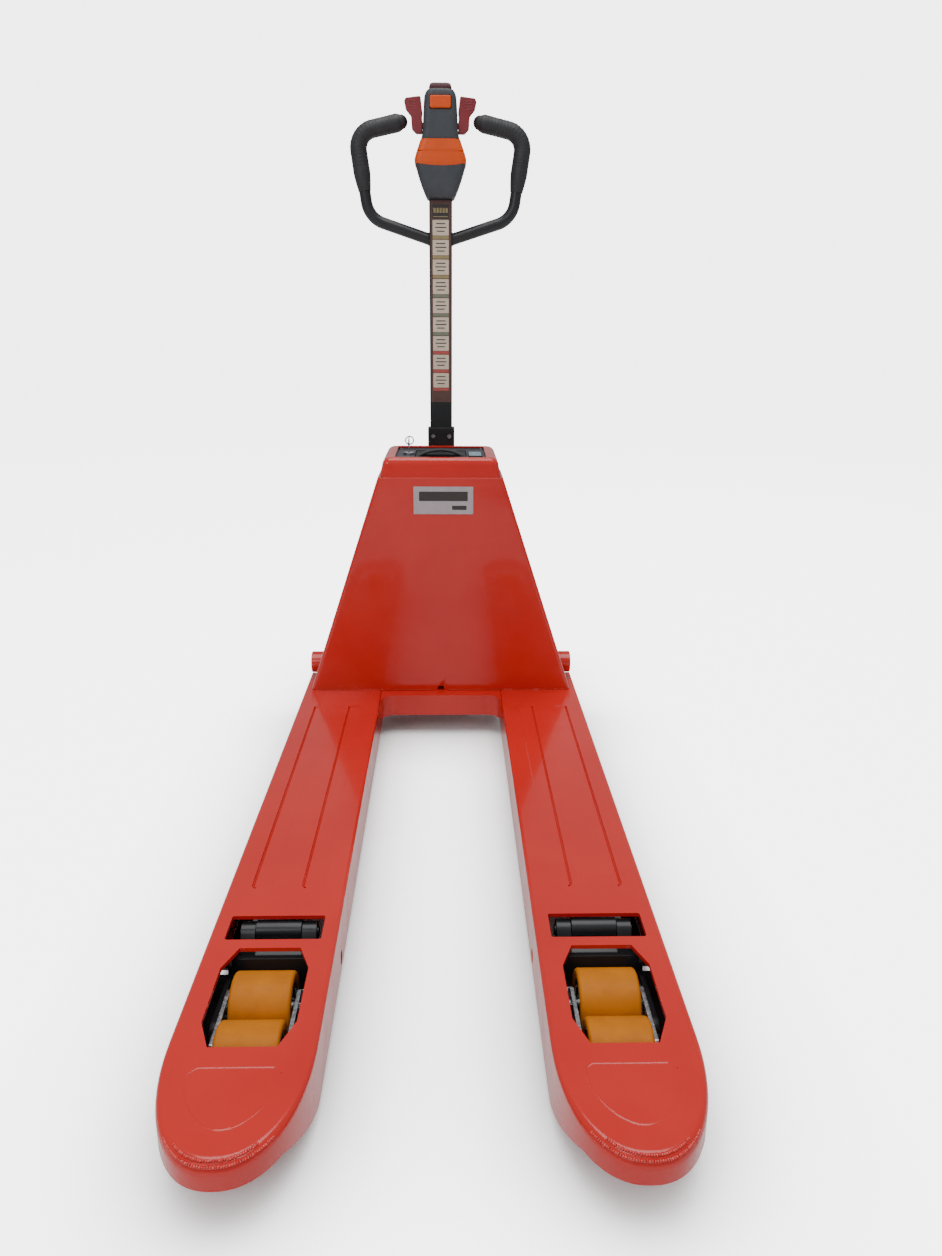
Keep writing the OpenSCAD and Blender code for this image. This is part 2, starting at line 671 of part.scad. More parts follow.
// Plan of the cover: square in front, rounded behind
module cover_plan(inset) {
    corner = 70;
    half = cover_x - inset;
    back = rear_reach - inset;
    translate([-half, cover_front]) square([2 * half, back - corner - cover_front]);
    for (side = [-1, 1]) translate([side * (half - corner + inset), back - corner + inset]) circle(corner - inset);
    translate([-half + corner - inset, back - corner - 1]) square([2 * (half - corner + inset), corner + 1]);
}
module chassis_cover() placed() color(grey) difference() {
    translate([0, 0, cover_low]) linear_extrude(cover_top - cover_low) cover_plan(0);
    translate([0, -1, cover_low - 1]) linear_extrude(cover_top - cover_low - cover_sheet + 1) union() {
        cover_plan(cover_sheet);
        translate([-cover_x + cover_sheet, cover_front - 1]) square([2 * (cover_x - cover_sheet), 10]);
    }
    translate([0, steer_y, cover_top - 10]) cylinder(r = turret_r + 6, h = 20);
}

module swing_arm_pins() placed() color(zinc) both() {
    bar_x(10, plate_x, swing_arm_x + swing_arm_t + 2, swing_pin_y, swing_pin_z);
    bar_x(15, swing_arm_x + swing_arm_t + 2, swing_arm_x + swing_arm_t + 6, swing_pin_y, swing_pin_z);
}

module steering_yoke() placed() color(black) {
    difference() {
        union() {
            translate([0, steer_y, deck_z - 14]) cylinder(r = 70, h = 12);
            translate([0, steer_y, deck_z - 3]) cylinder(r = neck_r, h = deck_t + 3);
            both() block([drive_leg_in, steer_y - 38, drive_r], [drive_leg_out, steer_y + 38, deck_z - 13]);
            both() bar_x(38, drive_leg_in, drive_leg_out, steer_y, drive_r);
        }
        bar_x(drive_axle_r + running, -drive_leg_out - 1, drive_leg_out + 1, steer_y, drive_r);
    }
    translate([0, steer_y, deck_top]) difference() {
        cylinder(r = 72.6, h = 16);
        translate([0, 0, -1]) cylinder(r = 40, h = 18);
    }
    difference() {
        union() {
            bar_x(44, drive_leg_out, drive_leg_out + 28, steer_y, drive_r);
            block([drive_leg_out, steer_y - 36, drive_r], [drive_leg_out + 28, steer_y + 36, deck_z - 20]);
        }
        bar_x(drive_axle_r + running, drive_leg_out - 1, drive_leg_out + 20, steer_y, drive_r);
    }
}

module drive_motor() placed() color(grey) translate([0, steer_y, deck_top + 16]) {
    cylinder(r = 54, h = 6);
    translate([0, 0, 6]) cylinder(r = 52, h = 110);
    translate([0, 0, 116]) cylinder(r = 42, h = 36);
}

module turret_cover() placed() color(black) translate([0, steer_y, turret_z]) difference() {
    cylinder(r = turret_r, h = turret_top - turret_z);
    translate([0, 0, -1]) cylinder(r = turret_r - 4, h = turret_top - turret_z + 2);
}

module tiller_bracket() placed() color(black) difference() {
    union() {
        both() block([56, steer_y - 32, deck_top + 16], [64, steer_y + 32, turret_top + 1]);
        translate([0, steer_y, turret_top]) cylinder(r = turret_r - 1, h = turret_cap);
        both() extrude_x(boss_half + side_gap, boss_half + side_gap + ear_t) {
            translate([tiller_y, tiller_z]) circle(20);
            translate([tiller_y - 20, turret_top + 1]) square([40, tiller_z - turret_top - 1]);
        }
    }
    bar_x(pin_r, -60, 60, tiller_y, tiller_z);
}

module drive_tyre() placed() color("#3a3c40") translate([0, steer_y, drive_r]) rotate([0, 90, 0])
    rotate_extrude() polygon([[72, -drive_width / 2 + 2], [drive_r - 6, -drive_width / 2],
        [drive_r, -drive_width / 2 + 6], [drive_r, drive_width / 2 - 6], [drive_r - 6, drive_width / 2],
        [72, drive_width / 2 - 2]]);
module drive_hub() placed() color(steel) translate([0, steer_y, drive_r]) rotate([0, 90, 0]) {
    difference() {
        cylinder(r = 72, h = drive_width - 4, center = true);
        for (face = [-1, 1]) translate([0, 0, face * drive_width / 2]) difference() {
            cylinder(r = 62, h = 30, center = true);
            cylinder(r = 30, h = 31, center = true);
        }
        for (bolt = [0:4]) rotate(72 * bolt) translate([46, 0, 0]) cylinder(r = 7, h = 100, center = true);
    }
    for (face = [-1, 1]) translate([0, 0, face * (drive_width / 2 - 2)])
        rotate([face > 0 ? 0 : 180, 0, 0]) cylinder(r = drive_axle_r, h = drive_leg_out - drive_width / 2 + 2);
}

module castor_fork(side) color(zinc) translate([side * castor_x, steer_y, 0]) {
    translate([0, 0, shelf_z - 30]) cylinder(r = 24, h = 10);
    block([-20, 0, shelf_z - 30], [20, castor_trail + 10, shelf_z - 24]);
    both() extrude_x(16, 20) link(8, shelf_z - 32, 14, castor_trail, castor_r, 12);
    both() block([16, -10, shelf_z - 34], [20, castor_trail + 8, shelf_z - 26]);
    translate([0, 0, shelf_z - 20]) cylinder(r = 10, h = 28 + shelf_t);
    translate([0, 0, shelf_z + shelf_t + 0.5]) difference() {
        cylinder(r = 17, h = 7, $fn = 6);
        translate([0, 0, -1]) cylinder(r = 10, h = 10);
    }
    bar_x(6, -23, 23, castor_trail, castor_r);
}
module castor_fork_left() placed() castor_fork(-1);
module castor_fork_right() placed() castor_fork(1);
module castor_wheel(side) color("#5b5e63")
    translate([side * castor_x, steer_y + castor_trail, castor_r]) rotate([0, 90, 0]) difference() {
        rotate_extrude() polygon([[6 + running, -14], [20, -14], [24, -12], [castor_r - 4, -13], [castor_r, -9],
            [castor_r, 9], [castor_r - 4, 13], [24, 12], [20, 14], [6 + running, 14]]);
    }
module castor_wheel_left() placed() castor_wheel(-1);
module castor_wheel_right() placed() castor_wheel(1);

// ------------------------------------------------------------------ tiller

module tiller_arm() placed() color(black) difference() {
    union() {
        bar_x(20, -boss_half, boss_half, tiller_y, tiller_z);
        block([-collar_half, arm_y - 12, tiller_z], [collar_half, arm_y + 25, tiller_z + 26]);
        block([-collar_half, arm_y - arm_depth / 2 - 4, tiller_z + 24],
            [collar_half, arm_y + arm_depth / 2 + 4, collar_top]);
        block([-arm_width / 2, arm_y - arm_depth / 2, collar_top - 1],
            [arm_width / 2, arm_y + arm_depth / 2, head_z + 48]);
    }
    block([-arm_width / 2 + arm_wall, arm_y - arm_depth / 2 + arm_wall, tiller_z + 30],
        [arm_width / 2 - arm_wall, arm_y + arm_depth / 2 - arm_wall, head_z + 49]);
    bar_x(pin_r + running, -60, 60, tiller_y, tiller_z);
}

// The pin with its heads, and the coil that brings the tiller upright
module tiller_pivot() placed() {
    outer = boss_half + side_gap + ear_t;
    tail = 20;
    color(zinc) {
        bar_x(pin_r, -outer - 2, outer + tail, tiller_y, tiller_z);
        bar_x(13, -outer - 6, -outer - 2, tiller_y, tiller_z);
        bar_x(13, outer + tail, outer + tail + 4, tiller_y, tiller_z);
    }
    coil = [for (i = [0:20 * spring_turns]) [
        outer + spring_wire + 0.2 + (tail - 2 * spring_wire - 0.4) * i / (20 * spring_turns),
        tiller_y + spring_r * cos(18 * i), tiller_z + spring_r * sin(18 * i)]];
    color(steel) tube_along(coil, [for (p = coil) spring_wire], [1, 0, 0], 8);
}

// One half of the handle's centre line in (X, Z)
loop_line = [[arm_width / 2 - 1, head_z - 74], [140, head_z - 36], [159, head_z + 118], [82, head_z + 136]];
loop_bends = [0, 48, 36, 0];
grip_start = loop_line[1] + (loop_line[2] - loop_line[1]) * 0.34;
module loop_handle() placed() color(black) both() translate([0, arm_y, 0]) difference() {
    line = bent_line(loop_line, loop_bends);
    tube_in_xz(line, [for (p = line) loop_r]);
    block([0, -2 * loop_r, head_z - 2 * loop_r - 80], [arm_width / 2, 2 * loop_r, head_z]);
}
module hand_grips() placed() color("#2b2d30") both() translate([0, arm_y, 0]) difference() {
    grip_line = bent_line([grip_start, loop_line[2], loop_line[3]], [0, loop_bends[2], 0]);
    out = unit(loop_line[3] - loop_line[2]);
    dome = [for (a = [30:30:60]) loop_line[3] + out * grip_r * sin(a)];
    line = concat(grip_line, dome, [loop_line[3] + out * (grip_r - 1)]);
    tube_in_xz(line, concat([for (p = grip_line) grip_r], [grip_r * cos(30), grip_r * cos(60), 4]));
    tube_in_xz(grip_line, [for (p = grip_line) loop_r + touch]);
}

// Half widths of the control head against height above its lower end
head_line = [[26, 0], [33, 12], [50, 62], [49.5, 66], [37, 108], [33, 122], [31.5, 182], [25, 194]];
module head_face(inset) {
    right = [for (p = head_line) [p[0] - inset, head_z + p[1] + (p[1] == 0 ? inset : p[1] > 190 ? -inset : 0)]];
    left = [for (i = [len(head_line) - 1:-1:0]) [-right[i][0], right[i][1]]];
    polygon(concat(right, left));
}
module head_shell() placed() color(grey) difference() {
    extrude_y(head_front, head_back) head_face(0);
    extrude_y(head_front + head_wall, head_back - head_wall) head_face(head_wall);
    block([-arm_width / 2, arm_y - arm_depth / 2, head_z - 1], [arm_width / 2, arm_y + arm_depth / 2, head_z + 50]);
    block([-22.7, arm_y - 22.7, head_z + 180], [22.7, arm_y + 22.7, head_z + 210]);
    block([-21, head_front - 1, head_z + 160.5], [21, head_front + head_wall + 1, head_z + 184.5]);
    bar_x(6.3, -60, 60, throttle_y, throttle_z);
}
module head_belt() placed() color(orange) difference() {
    extrude_y(head_front - belt_proud, head_back + belt_proud) polygon([
        [-head_line[2][0] - belt_proud, head_z + belt_low], [head_line[2][0] + belt_proud, head_z + belt_low],
        [head_line[4][0] + belt_proud, head_z + belt_high], [-head_line[4][0] - belt_proud, head_z + belt_high]]);
    extrude_y(head_front, head_back) head_face(0);
}

module throttle() placed() color(maroon) {
    both() extrude_y(throttle_y - 8, throttle_y + 8) translate([0, head_z]) polygon([[41, 180], [65, 176],
        [67.5, 172], [65, 157], [54.5, 146.5], [52, 120], [44, 112], [37.5, 113], [37.5, 150]]);
    bar_x(6, -40, 40, throttle_y, throttle_z);
}
module belly_button() placed() color(maroon) {
    block([-22.2, arm_y - 22.2, head_z + 186], [22.2, arm_y + 22.2, head_z + 198]);
    block([-19.5, arm_y - 19.5, head_z + 197], [19.5, arm_y + 19.5, head_z + 205]);
}
module horn_button() placed() color(orange)
    block([-20.4, head_front - 1.5, head_z + 161.5], [20.4, head_front + 8, head_z + 183.5]);

chassis_frame();
slew_ring();
lift_cylinder();
hydraulic_tank();
pump_motor();
hydraulic_hose();
lift_guides();
chassis_cover();
swing_arm_pins();
fork_left();
fork_right();
apron();
cross_member();
rear_panel();
hood();
dash_panel();
battery_gauge();
key_switch();
rocker_housing();
guide_frame();
lift_ram();
motor_controller();
wheel_pivot_axles();
battery_case();
battery_handle();
key();
rocker_arm();
pushrod_left();
pushrod_right();
wheel_bracket_left();
wheel_bracket_right();
bogie_left();
bogie_right();
roller_tyre_left_front();
roller_tyre_left_rear();
roller_tyre_right_front();
roller_tyre_right_rear();
roller_core_left_front();
roller_core_left_rear();
roller_core_right_front();
roller_core_right_rear();
steering_yoke();
drive_motor();
turret_cover();
tiller_bracket();
drive_tyre();
drive_hub();
tiller_arm();
tiller_pivot();
loop_handle();
hand_grips();
head_shell();
head_belt();
throttle();
belly_button();
horn_button();
castor_fork_left();
castor_fork_right();
castor_wheel_left();
castor_wheel_right();
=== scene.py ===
"""Electric pallet truck: the visual model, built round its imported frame.

Every class draws its sub-assembly in millimetres, measured from the middle of the apron's face at floor level.
Layout.emit turns that into metres in the frame, dresses it and hangs it on its body.
"""

import logging
import math
from dataclasses import dataclass
from enum import Enum
from typing import Optional, Sequence

import bmesh
import bpy
from mathutils import Matrix, Vector


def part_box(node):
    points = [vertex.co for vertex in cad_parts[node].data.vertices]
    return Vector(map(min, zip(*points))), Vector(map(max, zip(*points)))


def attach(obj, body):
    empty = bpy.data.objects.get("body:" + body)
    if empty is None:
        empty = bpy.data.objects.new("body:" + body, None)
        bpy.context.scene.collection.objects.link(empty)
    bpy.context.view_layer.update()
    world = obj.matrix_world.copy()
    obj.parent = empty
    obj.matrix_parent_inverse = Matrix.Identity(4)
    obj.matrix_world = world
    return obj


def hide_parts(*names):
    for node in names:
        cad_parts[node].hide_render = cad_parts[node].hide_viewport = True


LOG = logging.getLogger("pallet_truck")
MM = 0.001
Point = tuple[float, float, float]
Flat = tuple[float, float]
Mesh = bmesh.types.BMesh
Piece = bpy.types.Object
Tree = bpy.types.NodeTree
Node = bpy.types.Node
Socket = bpy.types.NodeSocket


class Side(Enum):
    """The two sides of the truck, as seen from the fork tips."""

    LEFT = -1
    RIGHT = 1

    @property
    def word(self) -> str:
        """The side's name as the frame's nodes use it."""
        return self.name.lower()


class End(Enum):
    """The two rollers of a pair: FRONT is nearer the fork's tip."""

    FRONT = -1
    REAR = 1

    @property
    def word(self) -> str:
        """The end's name as the frame's nodes use it."""
        return self.name.lower()


# ------------------------------------------------------------------ finishes


def linear(colour: str) -> tuple[float, float, float, float]:
    """Turns a hex sRGB colour into linear RGBA.

    Args:
        colour: six hex digits after a hash.

    Returns:
        The linear colour with full alpha.
    """
    parts = [int(colour[i : i + 2], 16) / 255 for i in (1, 3, 5)]
    return (*[p / 12.92 if p <= 0.04045 else ((p + 0.055) / 1.055) ** 2.4 for p in parts], 1.0)


def add(tree: Tree, kind: str, links: Optional[dict] = None, **settings: object) -> Node:
    """Adds a node with its settings, and sets or links its inputs.

    Args:
        tree: the node tree.
        kind: the node's type name.
        links: input name or index to a value, or to the socket that feeds it.
        settings: properties of the node.

    Returns:
        The new node.
    """
    made = tree.nodes.new(kind)
    for name, value in settings.items():
        setattr(made, name, value)
    for key, value in (links or {}).items():
        if isinstance(value, Socket):
            tree.links.new(value, made.inputs[key])
        else:
            made.inputs[key].default_value = value
    return made


@dataclass(frozen=True)
class Finish:
    """What every finish has: its name, the record's slot, its colour and its base gloss."""

    name: str
    slot: str
    colour: str
    roughness: float

    def surface(self, tree: Tree, shader: Node, place: Socket) -> None:
        """Adds the finish's own pattern to the shader. Each finish has its own.

        Args:
            tree: the material's node tree.
            shader: its Principled BSDF.
            place: Object coordinates, in metres.
        """
        raise NotImplementedError

    def material(self) -> bpy.types.Material:
        """Makes the material once and gives it back each time after that.

        Returns:
            The material.
        """
        known = bpy.data.materials.get(self.name)
        if known:
            return known
        made = bpy.data.materials.new(self.name)
        made.use_nodes = True
        tree = made.node_tree
        shader = tree.nodes["Principled BSDF"]
        shader.inputs["Base Color"].default_value = linear(self.colour)
        shader.inputs["Roughness"].default_value = self.roughness
        place = add(tree, "ShaderNodeTexCoord").outputs["Object"]
        self.surface(tree, shader, place)
        made.diffuse_color = linear(self.colour)
        return made

    def mottle(self, tree: Tree, shader: Node, place: Socket, other: str, size_mm: float,
               sharp: float = 0.5) -> None:
        """Lets the colour drift between two tones.

        Args:
            tree: the material's node tree.
            shader: its Principled BSDF.
            place: the coordinates of the pattern.
            other: the second tone, as a hex colour.
            size_mm: the size of a patch.
            sharp: how hard the patches' edges are, from 0 to 1.
        """
        cloud = add(tree, "ShaderNodeTexNoise", {"Vector": place, "Scale": 1000 / size_mm, "Detail": 3.0})
        ramp = add(tree, "ShaderNodeMapRange", {"Value": cloud.outputs["Fac"], "From Min": 0.25 + 0.2 * sharp,
                                                "From Max": 0.75 - 0.2 * sharp})
        mix = add(tree, "ShaderNodeMix", {"Factor": ramp.outputs["Result"], 6: linear(self.colour),
                                          7: linear(other)}, data_type="RGBA")
        tree.links.new(mix.outputs[2], shader.inputs["Base Color"])

    def gloss_drift(self, tree: Tree, shader: Node, place: Socket, size_mm: float, swing: float) -> None:
        """Lets the roughness drift.

        Args:
            tree: the material's node tree.
            shader: its Principled BSDF.
            place: the coordinates of the pattern.
            size_mm: the size of a patch.
            swing: how far the roughness drifts either way.
        """
        cloud = add(tree, "ShaderNodeTexNoise", {"Vector": place, "Scale": 1000 / size_mm, "Detail": 4.0})
        drift = add(tree, "ShaderNodeMapRange", {"Value": cloud.outputs["Fac"], "From Min": 0.3, "From Max": 0.7,
                                                 "To Min": self.roughness - swing,
                                                 "To Max": self.roughness + swing})
        tree.links.new(drift.outputs["Result"], shader.inputs["Roughness"])

    def relief(self, tree: Tree, shader: Node, height: Socket, depth_mm: float) -> None:
        """Turns a height from 0 to 1 into bump of a depth in millimetres."""
        bump = add(tree, "ShaderNodeBump", {"Height": height, "Distance": depth_mm * MM, "Strength": 1.0})
        tree.links.new(bump.outputs["Normal"], shader.inputs["Normal"])


@dataclass(frozen=True)
class Enamel(Finish):
    """Sprayed gloss enamel on sheet steel: deep colour under a clear film, with a faint orange-peel skin."""

    shade: str = "#000000"
    peel_mm: float = 2.4  # real peel is under 1 mm across: drawn coarser, so that it shows
    coat: float = 0.3
    wave_mm: float = 45.0
    relief_mm: float = 0.016

    def surface(self, tree: Tree, shader: Node, place: Socket) -> None:
        """Adds the tone drift, the film and the orange peel.

        Args:
            tree: the material's node tree.
            shader: its Principled BSDF.
            place: Object coordinates, in metres.
        """
        self.mottle(tree, shader, place, self.shade, 160)
        self.gloss_drift(tree, shader, place, 60, 0.06)
        peel = add(tree, "ShaderNodeTexNoise", {"Vector": place, "Scale": 1000 / self.peel_mm, "Detail": 1.0})
        wave = add(tree, "ShaderNodeTexNoise", {"Vector": place, "Scale": 1000 / self.wave_mm, "Detail": 1.0})
        height = add(tree, "ShaderNodeMath", {0: wave.outputs["Fac"], 1: 1.6, 2: peel.outputs["Fac"]},
                     operation="MULTIPLY_ADD")
        self.relief(tree, shader, height.outputs[0], self.relief_mm)
        shader.inputs["Coat Weight"].default_value = self.coat
        shader.inputs["Coat Roughness"].default_value = 0.04
        shader.inputs["Specular IOR Level"].default_value = 0.32
        shader.inputs["IOR"].default_value = 1.5


@dataclass(frozen=True)
class MouldedPlastic(Finish):
    """Injection-moulded ABS or polypropylene with a fine spark-eroded grain, which scatters the highlight."""

    shade: str = "#000000"
    grain_mm: float = 0.9  # real grain is about 0.2 mm across: drawn coarser, so that it shows
    depth_mm: float = 0.05

    def surface(self, tree: Tree, shader: Node, place: Socket) -> None:
        """Adds the grain and faint handling marks.

        Args:
            tree: the material's node tree.
            shader: its Principled BSDF.
            place: Object coordinates, in metres.
        """
        self.mottle(tree, shader, place, self.shade, 60)
        self.gloss_drift(tree, shader, place, 25, 0.07)
        grain = add(tree, "ShaderNodeTexVoronoi", {"Vector": place, "Scale": 1000 / self.grain_mm})
        self.relief(tree, shader, grain.outputs["Distance"], self.depth_mm)
        shader.inputs["IOR"].default_value = 1.49
        shader.inputs["Specular IOR Level"].default_value = 0.3


@dataclass(frozen=True)
class MouldedRubber(Finish):
    """Vulcanised rubber: nearly matt, with a pebbled skin and grey bloom in patches."""

    shade: str = "#000000"
    pebble_mm: float = 1.6
    depth_mm: float = 0.12

    def surface(self, tree: Tree, shader: Node, place: Socket) -> None:
        """Adds the bloom and the pebbled skin.

        Args:
            tree: the material's node tree.
            shader: its Principled BSDF.
            place: Object coordinates, in metres.
        """
        self.mottle(tree, shader, place, self.shade, 35, 0.2)
        self.gloss_drift(tree, shader, place, 18, 0.08)
        pebble = add(tree, "ShaderNodeTexNoise", {"Vector": place, "Scale": 1000 / self.pebble_mm, "Detail": 3.0})
        self.relief(tree, shader, pebble.outputs["Fac"], self.depth_mm)
        shader.inputs["IOR"].default_value = 1.52


@dataclass(frozen=True)
class CastPolyurethane(Finish):
    """Cast amber polyurethane: waxy, a little light passes into it, and rolling leaves fine rings."""

    shade: str = "#000000"
    ring_mm: float = 1.5
    run_mm: float = 50.0
    depth_mm: float = 0.1

    def surface(self, tree: Tree, shader: Node, place: Socket) -> None:
        """Adds the clouding, the rolling marks and the depth.

        Args:
            tree: the material's node tree.
            shader: its Principled BSDF.
            place: Object coordinates, in metres.
        """
        self.mottle(tree, shader, place, self.shade, 30, 0.1)
        self.gloss_drift(tree, shader, place, 8, 0.08)
        scale = (1000 / self.ring_mm, 1000 / self.run_mm, 1000 / self.run_mm)
        squeeze = add(tree, "ShaderNodeMapping", {"Vector": place, "Scale": scale})
        rings = add(tree, "ShaderNodeTexNoise", {"Vector": squeeze.outputs["Vector"], "Scale": 1.0, "Detail": 2.0})
        self.relief(tree, shader, rings.outputs["Fac"], self.depth_mm)
        shader.inputs["Specular IOR Level"].default_value = 0.15
        shader.inputs["Subsurface Weight"].default_value = 0.12
        shader.inputs["Subsurface Radius"].default_value = (0.006, 0.003, 0.001)
        shader.inputs["Subsurface Scale"].default_value = 1.0
        shader.inputs["IOR"].default_value = 1.5


@dataclass(frozen=True)
class TurnedSteel(Finish):
    """Bright turned or ground steel: fine lines across the axis stretch the highlight."""

    shade: str = "#7d8288"
    lines: Point = (1.0, 0.05, 0.05)
    line_mm: float = 0.8  # real tool lines are about 0.1 mm apart: drawn coarser, so that they show
    depth_mm: float = 0.03

    def surface(self, tree: Tree, shader: Node, place: Socket) -> None:
        """Adds the tool lines and a thin film of oil in the gloss.

        Args:
            tree: the material's node tree.
            shader: its Principled BSDF.
            place: Object coordinates, in metres.
        """
        self.mottle(tree, shader, place, self.shade, 22)
        self.gloss_drift(tree, shader, place, 12, 0.08)
        scale = tuple(1000 / self.line_mm * part for part in self.lines)
        squeeze = add(tree, "ShaderNodeMapping", {"Vector": place, "Scale": scale})
        cut = add(tree, "ShaderNodeTexNoise", {"Vector": squeeze.outputs["Vector"], "Scale": 1.0, "Detail": 2.0})
        self.relief(tree, shader, cut.outputs["Fac"], self.depth_mm)
        shader.inputs["Metallic"].default_value = 1.0


@dataclass(frozen=True)
class ZincPlate(Finish):
    """Bright zinc plating: silvery, with small crystals that catch the light one by one."""

    shade: str = "#8f959b"
    crystal_mm: float = 3.0  # real crystals are smaller: drawn coarser, so that they show
    scratch_mm: float = 10 / 9
    depth_mm: float = 0.02

    def surface(self, tree: Tree, shader: Node, place: Socket) -> None:
        """Adds the crystals as tone and as gloss.

        Args:
            tree: the material's node tree.
            shader: its Principled BSDF.
            place: Object coordinates, in metres.
        """
        cells = add(tree, "ShaderNodeTexVoronoi", {"Vector": place, "Scale": 1000 / self.crystal_mm})
        grey = add(tree, "ShaderNodeSeparateColor", {"Color": cells.outputs["Color"]})
        mix = add(tree, "ShaderNodeMix", {"Factor": grey.outputs[0], 6: linear(self.colour),
                                          7: linear(self.shade)}, data_type="RGBA")
        tree.links.new(mix.outputs[2], shader.inputs["Base Color"])
        gloss = add(tree, "ShaderNodeMapRange", {"Value": grey.outputs[1], "To Min": self.roughness - 0.08,
                                                 "To Max": self.roughness + 0.12})
        tree.links.new(gloss.outputs["Result"], shader.inputs["Roughness"])
        scratch = add(tree, "ShaderNodeTexNoise", {"Vector": place, "Scale": 1000 / self.scratch_mm,
                                                    "Detail": 2.0})
        self.relief(tree, shader, scratch.outputs["Fac"], self.depth_mm)
        shader.inputs["Metallic"].default_value = 1.0


@dataclass(frozen=True)
class PrintedFilm(Finish):
    """Printed vinyl film: flat ink under a satin overlay, with a trace of the ripple that it was laid with."""

    shade: str = "#000000"
    ripple_mm: float = 12.0
    depth_mm: float = 0.12

    def surface(self, tree: Tree, shader: Node, place: Socket) -> None:
        """Adds the ink's unevenness and the ripple.

        Args:
            tree: the material's node tree.
            shader: its Principled BSDF.
            place: Object coordinates, in metres.
        """
        self.mottle(tree, shader, place, self.shade, 9, 0.1)
        ripple = add(tree, "ShaderNodeTexNoise", {"Vector": place, "Scale": 1000 / self.ripple_mm, "Detail": 1.0})
        self.relief(tree, shader, ripple.outputs["Fac"], self.depth_mm)
        shader.inputs["Coat Weight"].default_value = 0.35
        shader.inputs["Coat Roughness"].default_value = 0.15


RED = Enamel("red_gloss_enamel", "red_enamel", "#c0241c", 0.2, "#b81f19")
RED_WELD = Enamel("red_enamel_on_weld", "red_enamel", "#c42a22", 0.24, "#b6201c", peel_mm=1.2, coat=0.6)
BLACK = Enamel("black_satin_enamel", "black_enamel", "#17191c", 0.38, "#1f2124", coat=0.15)
BLACK_TUBE = Enamel("black_powder_coat", "black_enamel", "#151719", 0.45, "#1b1d20", peel_mm=1.1, coat=0.1)
HANDLE_TUBE = Enamel("charcoal_powder_coat", "black_enamel", "#1c1d20", 0.42, "#232427", peel_mm=1.1, coat=0.1)
STEEL = TurnedSteel("turned_steel", "steel", "#b9bdc2", 0.28)
ZINC = ZincPlate("bright_zinc_plate", "zinc", "#c9cdd1", 0.26)
AMBER = CastPolyurethane("cast_amber_polyurethane", "polyurethane", "#b86b06", 0.5, "#a65f05")
TYRE = MouldedRubber("drive_tyre_rubber", "drive_rubber", "#2c2d2f", 0.72, "#3b3b3a")
CASTOR = MouldedRubber("castor_grey_rubber", "castor_rubber", "#55585c", 0.6, "#66696c")
GRIP = MouldedRubber("grip_black_rubber", "grip_rubber", "#191a1d", 0.6, "#202124", pebble_mm=1.1)
HOSE = MouldedRubber("hose_black_rubber", "hose_rubber", "#141517", 0.5, "#1e1f21", pebble_mm=0.9)
BLACK_ABS = MouldedPlastic("black_moulded_abs", "black_plastic", "#1d1f22", 0.5, "#26292c")
GREY_ABS = MouldedPlastic("slate_grey_moulded_abs", "grey_plastic", "#393c41", 0.46, "#404348")
COVER = MouldedPlastic("graphite_rotomoulded_cover", "grey_plastic", "#303337", 0.52, "#393c40", grain_mm=1.6)
ORANGE = MouldedPlastic("orange_moulded_abs", "orange_plastic", "#d14e16", 0.38, "#c94812", depth_mm=0.03)
MAROON = MouldedPlastic("maroon_moulded_abs", "maroon_plastic", "#7e3036", 0.34, "#732a30", depth_mm=0.03)
BELLY = MouldedPlastic("brown_moulded_abs", "maroon_plastic", "#4a2226", 0.4, "#421e22", depth_mm=0.03)
GAUGE = PrintedFilm("gauge_glossy_window", "gauge_lens", "#1f6f86", 0.08, "#2b88a0")
TANK = MouldedPlastic("natural_polyethylene_tank", "tank_plastic", "#d9d4c4", 0.4, "#cfc9b6")
PLATE = PrintedFilm("silver_grey_vinyl", "zinc", "#a79ea2", 0.34, "#9e9599")
CREAM_INK = PrintedFilm("cream_vinyl", "tank_plastic", "#c9b8a6", 0.45, "#bdac99")
BROWN_INK = PrintedFilm("dark_brown_vinyl", "black_plastic", "#472620", 0.45, "#51302a")
OCHRE_INK = PrintedFilm("ochre_vinyl", "orange_plastic", "#8f8056", 0.45, "#84754c")
SAGE_INK = PrintedFilm("sage_green_vinyl", "grey_plastic", "#6b745f", 0.45, "#626b56")
RED_INK = PrintedFilm("brick_red_vinyl", "maroon_plastic", "#a8453d", 0.45, "#9d3d36")
DARK_INK = PrintedFilm("charcoal_vinyl", "black_plastic", "#1f1715", 0.45, "#261c19")

# -------------------------------------------------------------------- meshes


def rounded_rectangle(middle: Flat, half: Flat, radius: float, steps: int = 6) -> list[Flat]:
    """Points round a rectangle with round corners, anticlockwise from the lower right corner.

    Args:
        middle: its centre.
        half: its half sizes.
        radius: the corners' radius.
        steps: the points of a corner, less one.

    Returns:
        4 * (steps + 1) points.
    """
    radius = min(radius, half[0] - 1e-3, half[1] - 1e-3)
    points = []
    for quarter, (sx, sy) in enumerate([(1, -1), (1, 1), (-1, 1), (-1, -1)]):
        for step in range(steps + 1):
            angle = math.radians(-90 + 90 * quarter + 90 * step / steps)
            points.append((middle[0] + sx * (half[0] - radius) + radius * math.cos(angle),
                           middle[1] + sy * (half[1] - radius) + radius * math.sin(angle)))
    return points


